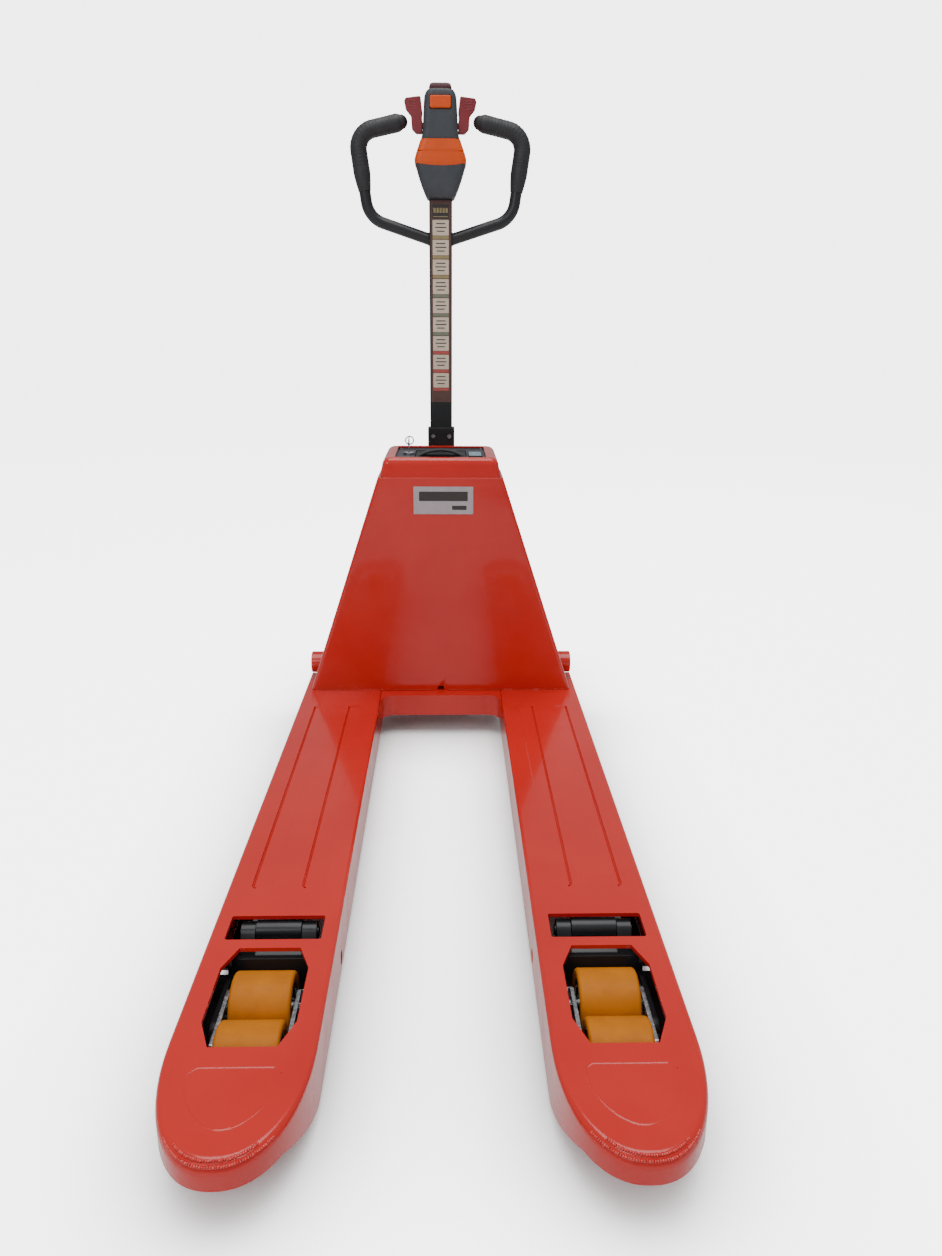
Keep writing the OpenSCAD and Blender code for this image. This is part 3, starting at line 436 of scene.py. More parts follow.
def bridge(bm: Mesh, rings: Sequence[Sequence[Point]], closed: bool = False,
           caps: tuple[bool, bool] = (True, True)) -> None:
    """Skins rings of equal length with quads.

    Args:
        bm: the mesh to add to.
        rings: the rings, each a closed loop of points.
        closed: joins the last ring to the first.
        caps: closes the first and the last ring with a face.
    """
    made = [[bm.verts.new(point) for point in ring] for ring in rings]
    count = len(made[0])
    pairs = list(zip(made, made[1:])) + ([(made[-1], made[0])] if closed else [])
    for low, high in pairs:
        for i in range(count):
            j = (i + 1) % count
            bm.faces.new((low[i], low[j], high[j], high[i]))
    if not closed and caps[0]:
        bm.faces.new(list(reversed(made[0])))
    if not closed and caps[1]:
        bm.faces.new(made[-1])


def box(bm: Mesh, low: Point, high: Point, radius: float = 0.0, steps: int = 3) -> None:
    """Adds a box from corner to corner with rounded edges.

    Args:
        bm: the mesh to add to.
        low: the lowest corner.
        high: the highest corner.
        radius: the edges' radius.
        steps: the facets of an edge.
    """
    middle = Vector([(a + b) / 2 for a, b in zip(low, high)])
    size = Vector([b - a for a, b in zip(low, high)])
    shape = Matrix.Translation(middle) @ Matrix.Diagonal((*size, 1))
    made = bmesh.ops.create_cube(bm, size=1, matrix=shape)
    if radius > 0:
        edges = list({edge for vert in made["verts"] for edge in vert.link_edges})
        bmesh.ops.bevel(bm, geom=edges, offset=min(radius, min(size) * 0.49), segments=steps, affect="EDGES",
                        profile=0.5)


def turned(bm: Mesh, profile: Sequence[Flat], centre: Point, axis: str = "X",
           segments: int = 48) -> None:
    """Turns a profile round an axis.

    Args:
        bm: the mesh to add to.
        profile: (radius, distance along the axis) pairs. A radius of 0 closes the end.
        centre: the point that distances are counted from.
        axis: X, Y or Z.
        segments: the facets round the axis.
    """
    along = {"X": Vector((1, 0, 0)), "Y": Vector((0, 1, 0)), "Z": Vector((0, 0, 1))}[axis]
    side = Vector((0, 0, 1)) if axis != "Z" else Vector((1, 0, 0))
    other = along.cross(side)
    rings = []
    for radius, distance in profile:
        if radius <= 0:
            rings.append([bm.verts.new(Vector(centre) + along * distance)])
            continue
        rings.append([bm.verts.new(Vector(centre) + along * distance
                                   + radius * (side * math.cos(math.tau * k / segments)
                                               + other * math.sin(math.tau * k / segments)))
                      for k in range(segments)])
    for low, high in zip(rings, rings[1:]):
        for k in range(segments):
            n = (k + 1) % segments
            if len(low) == 1:
                bm.faces.new((low[0], high[n], high[k]))
            elif len(high) == 1:
                bm.faces.new((low[k], low[n], high[0]))
            else:
                bm.faces.new((low[k], low[n], high[n], high[k]))


def pin(bm: Mesh, radius: float, start: float, end: float, centre: Point, axis: str = "X",
        edge: float = 0.8, segments: int = 40) -> None:
    """Adds a round bar with broken edges between two distances along an axis from centre."""
    turned(bm, [(0, start), (radius - edge, start), (radius, start + edge), (radius, end - edge),
                (radius - edge, end), (0, end)], centre, axis, segments)


def plate(bm: Mesh, outline: Sequence[Flat], low: float, high: float, axis: str = "X",
          radius: float = 0.6, steps: int = 2) -> None:
    """Extrudes an outline along an axis and breaks its edges.

    Args:
        bm: the mesh to add to.
        outline: the outline in the two other axes, in X, Y, Z order.
        low: where it starts along the axis.
        high: where it ends.
        axis: X, Y or Z.
        radius: the radius of the broken edges.
        steps: the facets of an edge.
    """
    place = {"X": lambda a, b, d: (d, a, b), "Y": lambda a, b, d: (a, d, b), "Z": lambda a, b, d: (a, b, d)}[axis]
    first = [bm.verts.new(place(a, b, low)) for a, b in outline]
    last = [bm.verts.new(place(a, b, high)) for a, b in outline]
    count = len(outline)
    faces = [bm.faces.new(first), bm.faces.new(list(reversed(last)))]
    for i in range(count):
        j = (i + 1) % count
        faces.append(bm.faces.new((first[j], first[i], last[i], last[j])))
    bmesh.ops.recalc_face_normals(bm, faces=faces)
    if radius > 0:
        rims = list({edge for face in faces[:2] for edge in face.edges})
        bmesh.ops.bevel(bm, geom=rims, offset=radius, segments=steps, affect="EDGES", profile=0.5)


def heading(path: Sequence[Vector], i: int) -> Vector:
    """Which way a path runs at one of its points."""
    return (path[min(i + 1, len(path) - 1)] - path[max(i - 1, 0)]).normalized()


def swept(bm: Mesh, path: Sequence[Vector], radii: Sequence[float], sides: int = 24,
          caps: tuple[bool, bool] = (True, True)) -> None:
    """Sweeps a circle along a path without twisting it.

    Args:
        bm: the mesh to add to.
        path: the points of the path.
        radii: one radius a point.
        sides: the facets round the path.
        caps: closes the first and the last end.
    """
    ways = [heading(path, i) for i in range(len(path))]
    across = ways[0].orthogonal().normalized()
    rings = []
    for point, way, radius in zip(path, ways, radii):
        across = (across - way * across.dot(way)).normalized()
        over = way.cross(across)
        rings.append([point + radius * (across * math.cos(math.tau * k / sides)
                                        + over * math.sin(math.tau * k / sides)) for k in range(sides)])
    bridge(bm, rings, caps=caps)


def bent(line: Sequence[Flat], bends: Sequence[float], steps: int = 12) -> list[Flat]:
    """Rounds the corners of a line.

    Args:
        line: its corners.
        bends: one radius a corner, 0 at both ends.
        steps: the facets of a bend.

    Returns:
        The points of the rounded line.
    """
    points = [Vector(line[0])]
    for before, corner, after, radius in zip(line, line[1:], line[2:], bends[1:]):
        way_in = (Vector(corner) - Vector(before)).normalized()
        way_out = (Vector(after) - Vector(corner)).normalized()
        turn = way_in.angle_signed(way_out)
        sweep = -turn
        reach = radius * math.tan(abs(turn) / 2)
        left = Vector((-way_in.y, way_in.x)) * (1 if sweep > 0 else -1)
        centre = Vector(corner) - way_in * reach + left * radius
        for step in range(steps + 1):
            spoke = -left * radius
            spoke.rotate(Matrix.Rotation(sweep * step / steps, 2))
            points.append(centre + spoke)
    points.append(Vector(line[-1]))
    return [tuple(p) for p in points]


def link(name: str, data: bpy.types.ID) -> Piece:
    """Puts an object with this data into the scene.

    Args:
        name: the object's name.
        data: its mesh, curve, light or camera.

    Returns:
        The object.
    """
    made = bpy.data.objects.new(name, data)
    bpy.context.scene.collection.objects.link(made)
    return made


class Layout:
    """Turns drawn millimetres into metres in the frame, and hangs finished pieces on their bodies."""

    def __init__(self) -> None:
        """Reads where the apron's face lies in the frame."""
        self.origin_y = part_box("apron")[0][1]
        self.matrix = Matrix.Translation((0, self.origin_y, 0)) @ Matrix.Scale(MM, 4)
        self.made: list[str] = []

    def corner(self, name: str) -> tuple[Vector, Vector]:
        """The lowest and highest corner of a frame node, in drawn millimetres.

        Args:
            name: the node.

        Returns:
            Two corners.
        """
        back = self.matrix.inverted()
        low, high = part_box(name)
        return back @ Vector(low), back @ Vector(high)

    def solid(self, name: str, bm: Mesh) -> Piece:
        """Puts a mesh in drawn millimetres into the scene.

        Args:
            name: the object's name.
            bm: the mesh, which is freed.

        Returns:
            The object.
        """
        bmesh.ops.transform(bm, matrix=self.matrix, verts=bm.verts)
        mesh = bpy.data.meshes.new(name)
        bm.to_mesh(mesh)
        bm.free()
        return link(name, mesh)

    def emit(self, name: str, bm: Mesh, finish: Finish, body: str, replaced: Sequence[str] = (),
             angle: float = 32.0, merge: bool = True) -> Piece:
        """Makes a finished piece from a mesh in drawn millimetres.

        Args:
            name: the piece's name.
            bm: its mesh, which is freed.
            finish: its finish.
            body: the body that it rides on.
            replaced: the frame nodes that it stands for.
            angle: edges sharper than this many degrees stay sharp.
            merge: merges doubles and turns every face outwards.

        Returns:
            The piece.
        """
        if merge:
            bmesh.ops.remove_doubles(bm, verts=bm.verts, dist=0.01)
            bmesh.ops.recalc_face_normals(bm, faces=bm.faces)
        return self.dress(self.solid(name, bm), finish, body, replaced, angle)

    def dress(self, piece: Piece, finish: Finish, body: str, replaced: Sequence[str] = (),
              angle: float = 32.0) -> Piece:
        """Gives a piece its finish, its shading and its body.

        Args:
            piece: an object whose mesh is in place.
            finish: its finish.
            body: the body that it rides on.
            replaced: the frame nodes that it stands for.
            angle: edges sharper than this many degrees stay sharp.

        Returns:
            The same piece.
        """
        mesh = piece.data
        mesh.materials.clear()
        mesh.materials.append(finish.material())
        self.shade(piece, angle)
        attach(piece, body)
        if replaced:
            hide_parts(*replaced)
        self.made.append(piece.name)
        LOG.info("made %s on %s: %d faces", piece.name, body, len(mesh.polygons))
        return piece

    @staticmethod
    def shade(piece: Piece, angle: float) -> None:
        """Smooths a piece, and lets its large faces decide the shading.

        Args:
            piece: the piece.
            angle: edges sharper than this many degrees stay sharp.
        """
        mesh = piece.data
        mesh.polygons.foreach_set("use_smooth", [True] * len(mesh.polygons))
        mesh.set_sharp_from_angle(angle=math.radians(angle))
        even = piece.modifiers.new("even", "WEIGHTED_NORMAL")
        even.keep_sharp = True
        even.weight = 80
        flatten(piece)

    def machined(self, node: str, finish: Finish, body: str, width: float = 0.8, steps: int = 2,
                 name: Optional[str] = None) -> Piece:
        """Makes a copy of a frame node whose edges are broken, as a deburred part's are.

        Args:
            node: the frame node, which the copy stands for.
            finish: its finish.
            body: the body that it rides on.
            width: the width of a broken edge in millimetres.
            steps: the facets of an edge.
            name: the piece's name, or None for the node's own with a suffix.

        Returns:
            The piece.
        """
        bm = bmesh.new()
        bm.from_mesh(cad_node(node).data)
        bmesh.ops.transform(bm, matrix=self.matrix.inverted(), verts=bm.verts)
        bmesh.ops.remove_doubles(bm, verts=bm.verts, dist=0.005)
        bmesh.ops.dissolve_limit(bm, angle_limit=math.radians(1.0), verts=bm.verts, edges=bm.edges)
        if width > 0:
            sharp = [e for e in bm.edges if len(e.link_faces) == 2 and e.calc_face_angle(0) > math.radians(30)]
            bmesh.ops.bevel(bm, geom=sharp, offset=width, segments=steps, affect="EDGES", profile=0.5,
                            clamp_overlap=True)
        bmesh.ops.triangulate(bm, faces=[f for f in bm.faces if len(f.verts) > 4])
        return self.emit(name or f"{node}_body", bm, finish, body, (node,), merge=False)

    def cut(self, piece: Piece, tools: Sequence[Mesh], edge: float = 0.0) -> None:
        """Cuts shapes out of a piece, then breaks the new edges.

        Args:
            piece: the piece, which keeps its place.
            tools: closed meshes in drawn millimetres, which are freed.
            edge: the width of the broken edges in millimetres, or 0.
        """
        cutters = []
        for number, bm in enumerate(tools):
            bmesh.ops.recalc_face_normals(bm, faces=bm.faces)
            cutters.append(self.solid("cutter", bm))
            step = piece.modifiers.new(f"cut_{number}", "BOOLEAN")
            step.operation = "DIFFERENCE"
            step.solver = "EXACT"
            step.object = cutters[-1]
        if edge > 0:
            soft = piece.modifiers.new("edge", "BEVEL")
            soft.width = edge * MM
            soft.segments = 2
            soft.limit_method = "ANGLE"
            soft.angle_limit = math.radians(50)
        flatten(piece)
        for cutter in cutters:
            bpy.data.objects.remove(cutter)


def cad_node(name: str) -> Piece:
    """The frame's object for a node."""
    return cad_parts[name]


def solved(piece: Piece) -> bpy.types.Mesh:
    """A new mesh with a piece's live modifiers worked in."""
    return bpy.data.meshes.new_from_object(piece.evaluated_get(bpy.context.evaluated_depsgraph_get()))


def flatten(piece: Piece) -> None:
    """Turns a piece and its live modifiers into a plain mesh.

    Args:
        piece: the piece, which keeps its place.
    """
    shape = solved(piece)
    piece.modifiers.clear()
    piece.data = shape


# ----------------------------------------------------------- repeated details


class Repeat:
    """Geometry Nodes trees for what repeats: fasteners, weld beads and ribs."""

    @staticmethod
    def tree(name: str, sizes: dict[str, float], seed: Optional[int] = None) -> tuple[Tree, Node, Node]:
        """Starts a tree with a geometry socket at both ends and one input per size.

        Args:
            name: the tree's name.
            sizes: the name and value of each input, in metres or plain numbers.
            seed: a fixed seed, which becomes an integer input.

        Returns:
            The tree, its Group Input and its Group Output.
        """
        tree = bpy.data.node_groups.new(name, "GeometryNodeTree")
        tree.interface.new_socket("Geometry", in_out="INPUT", socket_type="NodeSocketGeometry")
        tree.interface.new_socket("Geometry", in_out="OUTPUT", socket_type="NodeSocketGeometry")
        for label in sizes:
            tree.interface.new_socket(label, in_out="INPUT", socket_type="NodeSocketFloat")
        if seed is not None:
            tree.interface.new_socket("Seed", in_out="INPUT", socket_type="NodeSocketInt")
        return tree, tree.nodes.new("NodeGroupInput"), tree.nodes.new("NodeGroupOutput")

    @staticmethod
    def close(tree: Tree, last: Socket, finish: Finish, group_out: Node) -> None:
        """Ends a tree in Realize Instances and Set Material.

        Args:
            tree: the tree.
            last: the socket that gives its geometry.
            finish: the finish of what it makes.
            group_out: its Group Output.
        """
        real = add(tree, "GeometryNodeRealizeInstances", {"Geometry": last})
        dressed = add(tree, "GeometryNodeSetMaterial", {"Geometry": real.outputs[0],
                                                        "Material": finish.material()})
        tree.links.new(dressed.outputs[0], group_out.inputs[0])

    @staticmethod
    def run(layout: Layout, name: str, start: bpy.types.ID, tree: Tree, sizes: dict[str, float],
            finish: Finish, body: str, seed: Optional[int] = None) -> Piece:
        """Runs a tree on a mesh or curve and keeps the result as a plain mesh.

        Args:
            layout: the layout that dresses the piece.
            name: the piece's name.
            start: the mesh or curve that the tree starts from.
            tree: the tree.
            sizes: its inputs' values.
            finish: the piece's finish.
            body: the body that it rides on.
            seed: the tree's seed, if it has one.

        Returns:
            The piece.
        """
        source = link(f"{name}_source", start)
        step = source.modifiers.new("repeat", "NODES")
        step.node_group = tree
        for item in tree.interface.items_tree:
            if item.item_type == "SOCKET" and item.in_out == "INPUT" and item.name in sizes:
                step[item.identifier] = sizes[item.name]
            if item.item_type == "SOCKET" and item.in_out == "INPUT" and item.name == "Seed":
                step[item.identifier] = seed
        shape = solved(source)
        source.modifiers.clear()
        bpy.data.objects.remove(source)
        return layout.dress(link(name, shape), finish, body)


@dataclass
class Fasteners:
    """Hexagon bolts with washers at a list of places, each turned to face the way that it points."""

    layout: Layout
    flats: float = 10.0
    head: float = 4.2
    washer: float = 15.0

    def tree(self, finish: Finish) -> Tree:
        """Builds the tree that puts a bolt on every point.

        Args:
            finish: the bolts' finish.

        Returns:
            The tree.
        """
        names = {"Across flats": 0.0, "Head height": 0.0, "Washer": 0.0}
        tree, given, result = Repeat.tree("bolts_on_points", names)
        flats, height, washer = (given.outputs[label] for label in names)
        bolt = add(tree, "GeometryNodeJoinGeometry")
        for sides, width, share, tall, rise in ((24, washer, 0.5, 0.35, 0.0), (6, flats, 0.577, 1.0, 0.6),
                                                (16, flats, 0.28, 1.0, 0.8)):
            radius = add(tree, "ShaderNodeMath", {0: width, 1: share}, operation="MULTIPLY")
            depth = add(tree, "ShaderNodeMath", {0: height, 1: tall}, operation="MULTIPLY")
            part = add(tree, "GeometryNodeMeshCylinder", {"Vertices": sides, "Radius": radius.outputs[0],
                                                          "Depth": depth.outputs[0]})
            above = add(tree, "ShaderNodeMath", {0: height, 1: rise}, operation="MULTIPLY")
            lift = add(tree, "ShaderNodeCombineXYZ", {"Z": above.outputs[0]})
            raised = add(tree, "GeometryNodeTransform", {"Geometry": part.outputs["Mesh"],
                                                         "Translation": lift.outputs[0]})
            tree.links.new(raised.outputs[0], bolt.inputs[0])
        aim = add(tree, "GeometryNodeInputNamedAttribute", {"Name": "aim"}, data_type="FLOAT_VECTOR")
        turn = add(tree, "FunctionNodeAlignRotationToVector", {"Vector": aim.outputs[0]}, axis="Z")
        placed = add(tree, "GeometryNodeInstanceOnPoints", {"Points": given.outputs[0],
                                                            "Instance": bolt.outputs[0],
                                                            "Rotation": turn.outputs[0]})
        Repeat.close(tree, placed.outputs[0], finish, result)
        return tree

    def place(self, name: str, spots: Sequence[tuple[Point, Point]], finish: Finish, body: str) -> None:
        """Puts a bolt at each place.

        Args:
            name: the piece's name.
            spots: pairs of a place and the way that the head points, in drawn millimetres.
            finish: the bolts' finish.
            body: the body that they ride on.
        """
        mesh = bpy.data.meshes.new(f"{name}_points")
        mesh.from_pydata([self.layout.matrix @ Vector(place) for place, _ in spots], [], [])
        aims = mesh.attributes.new("aim", "FLOAT_VECTOR", "POINT")
        for item, (_, way) in zip(aims.data, spots):
            item.vector = way
        sizes = {"Across flats": self.flats * MM, "Head height": self.head * MM, "Washer": self.washer * MM}
        Repeat.run(self.layout, name, mesh, self.tree(finish), sizes, finish, body)


@dataclass
class WeldBead:
    """A run of weld: overlapping scallops along a path, each a little different, under paint."""

    layout: Layout
    width: float = 5.0
    pitch: float = 2.6
    seed: int = 7

    def tree(self, finish: Finish) -> Tree:
        """Builds the tree that lays scallops along a curve.

        Args:
            finish: the finish over the weld.

        Returns:
            The tree.
        """
        tree, given, result = Repeat.tree("weld_along_path", {"Width": 0.0, "Pitch": 0.0}, self.seed)
        even = add(tree, "GeometryNodeCurveToPoints", {"Curve": given.outputs[0],
                                                       "Length": given.outputs["Pitch"]}, mode="LENGTH")
        half = add(tree, "ShaderNodeMath", {0: given.outputs["Width"], 1: 0.5}, operation="MULTIPLY")
        drop = add(tree, "GeometryNodeMeshIcoSphere", {"Radius": half.outputs[0], "Subdivisions": 2})
        size = add(tree, "FunctionNodeRandomValue", {"Min": (0.55, 0.75, 0.45), "Max": (0.95, 1.15, 0.85),
                                                     "Seed": given.outputs["Seed"]}, data_type="FLOAT_VECTOR")
        turn = add(tree, "FunctionNodeAlignRotationToVector", {"Vector": even.outputs["Tangent"]}, axis="X")
        laid = add(tree, "GeometryNodeInstanceOnPoints", {"Points": even.outputs["Points"],
                                                          "Instance": drop.outputs[0],
                                                          "Rotation": turn.outputs[0],
                                                          "Scale": size.outputs[0]})
        Repeat.close(tree, laid.outputs[0], finish, result)
        return tree

    def lay(self, name: str, runs: Sequence[Sequence[Point]], finish: Finish, body: str) -> None:
        """Lays weld along each run.

        Args:
            name: the piece's name.
            runs: lists of points in drawn millimetres.
            finish: the finish over the weld.
            body: the body that it rides on.
        """
        curve = bpy.data.curves.new(f"{name}_path", "CURVE")
        curve.dimensions = "3D"
        for run in runs:
            spline = curve.splines.new("POLY")
            spline.points.add(len(run) - 1)
            for point, place in zip(spline.points, run):
                point.co = (*(self.layout.matrix @ Vector(place)), 1.0)
        sizes = {"Width": self.width * MM, "Pitch": self.pitch * MM}
        Repeat.run(self.layout, name, curve, self.tree(finish), sizes, finish, body, self.seed)


# ---------------------------------------------------------------- fork frame


@dataclass
class Fork:
    """One fork: a folded steel channel with a rounded nose, a window, a well and pressed grooves."""

    layout: Layout
    side: Side
    nose: float = 155.0
    sheet: float = 5.0
    edge: float = 4.5
    nose_round: float = 8.0
    inner_round: Flat = (2.5, 6.0)
    fullness: float = 2.25
    droop: float = 4.0
    groove: float = 28.0
    groove_offset: float = 33.0
    groove_depth: float = 2.5
    groove_run: Flat = (-715.0, -84.0)
    window_half: Flat = (58.0, 24.0)
    well_half: Flat = (50.5, 36.0)
    well_reach: Flat = (73.0, 90.0)
    well_corner: float = 37.0
    # where the black strips of painted shade run inside the well and the window
    painted_shade_spans: tuple[Flat, ...] = ((-1002.0, -807.5), (-776.5, -640.0))
    steps: int = 48

    def __post_init__(self) -> None:
        """Reads the fork's box."""
        low, high = self.layout.corner(f"fork_{self.side.word}")
        self.middle = (low.x + high.x) / 2
        self.half = (high.x - low.x) / 2
        self.tip, self.heel = low.y, high.y
        self.bottom, self.top = low.z, high.z
        self.bend = self.tip + self.nose
        axle = self.layout.corner("bogie_" + self.side.word)
        self.roller_y = (axle[0].y + axle[1].y) / 2

    def rim(self) -> list[tuple[Flat, Flat, float]]:
        """The fork's plan.

        Returns:
            Points, each with its outward direction and how far round the nose it is, from 0 to 1.
        """
        run = [self.heel + (self.bend - self.heel) * k / 12 for k in range(12)]
        right = [((self.half, y), (1.0, 1.0 if k == 0 else 0.0), 0.0) for k, y in enumerate(run)]
        nose = []
        power = 2 / self.fullness
        for k in range(self.steps + 1):
            cos, sin = math.cos(math.pi * k / self.steps), max(0.0, math.sin(math.pi * k / self.steps))
            x = self.half * math.copysign(abs(cos) ** power, cos)
            y = self.nose * sin ** power
            way = Vector((math.copysign(abs(x / self.half) ** (self.fullness - 1), cos) / self.half,
                          -((y / self.nose) ** (self.fullness - 1)) / self.nose)).normalized()
            nose.append(((x, self.bend - y), (way.x, way.y), (y / self.nose) ** 2))
        left = [((-x, y), (-nx, ny), swell) for (x, y), (nx, ny), swell in reversed(right)]
        return [((self.middle + x, y), way, swell) for (x, y), way, swell in right + nose + left]

    def shape(self) -> Mesh:
        """The channel as one shell with round upper edges, inside and out, rounder at the nose.

        Returns:
            Its mesh.
        """
        arcs = [math.radians(a) for a in (0, 18, 36, 54, 72, 90)]
        rim = self.rim()

        def level(wall: float, radius: float, swell: float, angle: float, top: float) -> list[Point]:
            """One ring on a round upper edge.

            Args:
                wall: how far in from the plan the edge's wall stands.
                radius: the edge's radius along the sides.
                swell: how much rounder it is at the nose's point.
                angle: how far round the edge the ring lies, in radians from the wall.
                top: the height of the face above the edge.

            Returns:
                The ring.
            """
            ring = []
            for (x, y), (nx, ny), share in rim:
                r = radius + swell * share
                inset = wall + r * (1 - math.cos(angle))
                ring.append((x - nx * inset, y - ny * inset, top - r + r * math.sin(angle)))
            return ring

        rings = [level(self.sheet, *self.inner_round, angle, self.top - self.sheet) for angle in reversed(arcs)]
        rings += [level(wall, 0.0, 0.0, 0.0, self.bottom) for wall in (self.sheet, 0.0)]
        rings += [level(0.0, self.edge, self.nose_round, angle, self.top) for angle in arcs]
        bm = bmesh.new()
        bridge(bm, rings)
        return bm

    def well_outline(self) -> list[Flat]:
        """The well over the rollers: a box with four cut corners.

        Returns:
            Its outline in (X, Y).
        """
        half, end = self.well_half
        front, back, corner = self.roller_y - self.well_reach[0], self.roller_y + self.well_reach[1], self.well_corner
        right = [(end, front), (half, front + corner), (half, back - corner), (end, back)]
        return [(self.middle + x, y) for x, y in right] + [(self.middle - x, y) for x, y in reversed(right)]

    def tools(self) -> list[Mesh]:
        """The shapes that are cut out of the channel.

        Returns:
            Closed meshes in drawn millimetres.
        """
        found = []
        skirt = bmesh.new()
        rise = self.bend - 25
        plate(skirt, [(rise + 60, self.bottom - 9), (rise, self.bottom + 0.5), (rise - 30, self.bottom + 10),
                      (rise - 90, 52.0), (self.tip - 5, 53.0), (self.tip - 5, self.bottom - 9)],
              self.middle - 90, self.middle + 90, "X", 0)
        found.append(skirt)
        window = bmesh.new()
        plate(window, rounded_rectangle((self.middle, self.window_y), self.window_half, 3), self.top - 20,
              self.top + 9, "Z", 0)
        found.append(window)
        well = bmesh.new()
        plate(well, self.well_outline(), self.top - 20, self.top + 9, "Z", 0)
        found.append(well)
        for sign in (-1, 1):
            for tool in (self.groove_tool, self.crease_tool):
                found.append(tool(self.middle + sign * self.groove_offset))
        hole = bmesh.new()
        pin(hole, 9.2, -90, 90, (self.middle, self.pivot.y, self.pivot.z))
        found.append(hole)
        heel = bmesh.new()
        box(heel, (self.middle - 14, 48, self.top - 15), (self.middle + 14, self.heel + 5, self.top + 5))
        found.append(heel)
        way_out = bmesh.new()
        wide = self.half - self.sheet - 1
        box(way_out, (self.middle - wide, self.heel - 9, self.bottom - 5),
            (self.middle + wide, self.heel + 5, self.top - self.sheet - 1))
        found.append(way_out)
        seat = bmesh.new()
        box(seat, (self.middle - 90, -2.0, self.top - 1), (self.middle + 90, self.heel + 5, self.top + 9))
        found.append(seat)
        return found

    @property
    def pivot(self) -> Vector:
        """The middle of the wheel bracket's pivot axle."""
        low, high = self.layout.corner("wheel_pivot_axles")
        return (low + high) / 2

    @property
    def window_y(self) -> float:
        """The middle of the window along the fork."""
        return self.pivot.y - 10

    def groove_tool(self, x: float) -> Mesh:
        """A pressed groove with sloping sides and slanted ends.

        Args:
            x: where its middle line lies.

        Returns:
            Its mesh.
        """
        start, end = self.groove_run
        bm = bmesh.new()
        rings = []
        for depth, shrink in ((-3.0, -3.0), (0.0, 0.0), (self.groove_depth, 3.2)):
            half = (self.groove / 2 - shrink, (end - start) / 2 - shrink)
            rings.append([(px, py, self.top - depth) for px, py in
                          rounded_rectangle((x, (start + end) / 2), half, 9 - shrink, 5)])
        bridge(bm, rings)
        return bm

    def crease_tool(self, x: float) -> Mesh:
        """The sharp crease that the press leaves at the foot of a groove's outer wall.

        Args:
            x: where the groove's middle line lies.

        Returns:
            Its mesh.
        """
        bm = bmesh.new()
        out = 1 if self.middle > 0 else -1
        edge = x + out * (self.groove / 2 - 0.6)
        z = self.top - 1.5
        turns = ((5, -716.0), (2, -714.5), (0, -711.0), (0, -500.0), (0, -300.0), (0, -90.0))
        path = [Vector((edge - out * back, y, z)) for back, y in turns]
        swept(bm, path, [1.9] * len(path), 12)
        return bm

    def nose_line(self) -> Mesh:
        """The pressed line that frames the nose: straight at the back, drawn to a point at the front.

        Returns:
            Its mesh.
        """
        line = []
        for k in range(33):
            t = math.pi * k / 32
            x = 46 * math.cos(t) * (1 - 0.22 * math.sin(t) ** 2)
            line.append(Vector((self.middle + x, self.bend - 46 - 70 * math.sin(t) ** 0.8, self.top + 1.6)))
        line += [Vector((self.middle + x, self.bend - 40, self.top + 1.6)) for x in (-38, 38)]
        bm = bmesh.new()
        swept(bm, line, [2.2] * len(line), 12)
        return bm

    def build(self) -> None:
        """Builds the fork, its pressed lines and its weld."""
        body = "fork_frame"
        piece = self.layout.emit(f"fork_shell_{self.side.word}", self.shape(), RED, body,
                                 (f"fork_{self.side.word}",), 40)
        self.layout.cut(piece, [*self.tools(), self.nose_line()], 0.7)
        drop = self.layout.matrix
        back = drop.inverted()
        for vert in piece.data.vertices:
            spot = back @ vert.co
            if spot.z > 60 and spot.y < self.bend + 40:
                reach = (self.bend + 40 - spot.y) / (self.nose + 40)
                spot.z -= self.droop * reach * reach
                vert.co = drop @ spot
        piece.data.materials.clear()
        piece.data.materials.append(RED.material())
        self.layout.shade(piece, 30)
        bead = WeldBead(self.layout, 4.2, 2.4, seed=11 + self.side.value)
        runs = []
        for inset, sink, spread in ((3.0, 3.4, 40), (7.5, 0.9, 30)):
            runs.append([self.on_nose(math.radians(90 - spread + 2 * spread * k / 24), inset, sink)
                         for k in range(25)])
        bead.lay(f"nose_weld_{self.side.word}", runs, RED_WELD, body)
        # black strips of painted shade darken the well and the window
        self.lips()

    def lips(self) -> None:
        """Builds black strips inside the channel's lower edges: painted shade, dark sheets that darken the well and
        the window where the floor's glow would show through.
        """
        shade_strip = bmesh.new()
        for sign in (-1, 1):
            inner, outer = sorted((self.middle + sign * 52.8, self.middle + sign * (self.half - self.sheet - 0.4)))
            for front, back in self.painted_shade_spans:
                box(shade_strip, (inner, front, self.bottom + 0.4), (outer, back, self.bottom + 3.4), 0.8)
        # painted shade: black sheets where the floor's glow would otherwise show
        self.layout.emit(f"inner_lips_{self.side.word}", shade_strip, BLACK, "fork_frame", (), 40)

    def on_nose(self, angle: float, inset: float, sink: float) -> Point:
        """A point on the nose's round edge.

        Args:
            angle: where it lies round the nose, in radians from the right.
            inset: how far in from the plan it lies.
            sink: how far below the load face it lies.

        Returns:
            The point.
        """
        power = 2 / self.fullness
        x = (self.half - inset) * math.copysign(abs(math.cos(angle)) ** power, math.cos(angle))
        y = (self.nose - inset) * math.sin(angle) ** power
        return (self.middle + x, self.bend - y, self.top - sink - self.droop * ((y + 40) / (self.nose + 40)) ** 2)


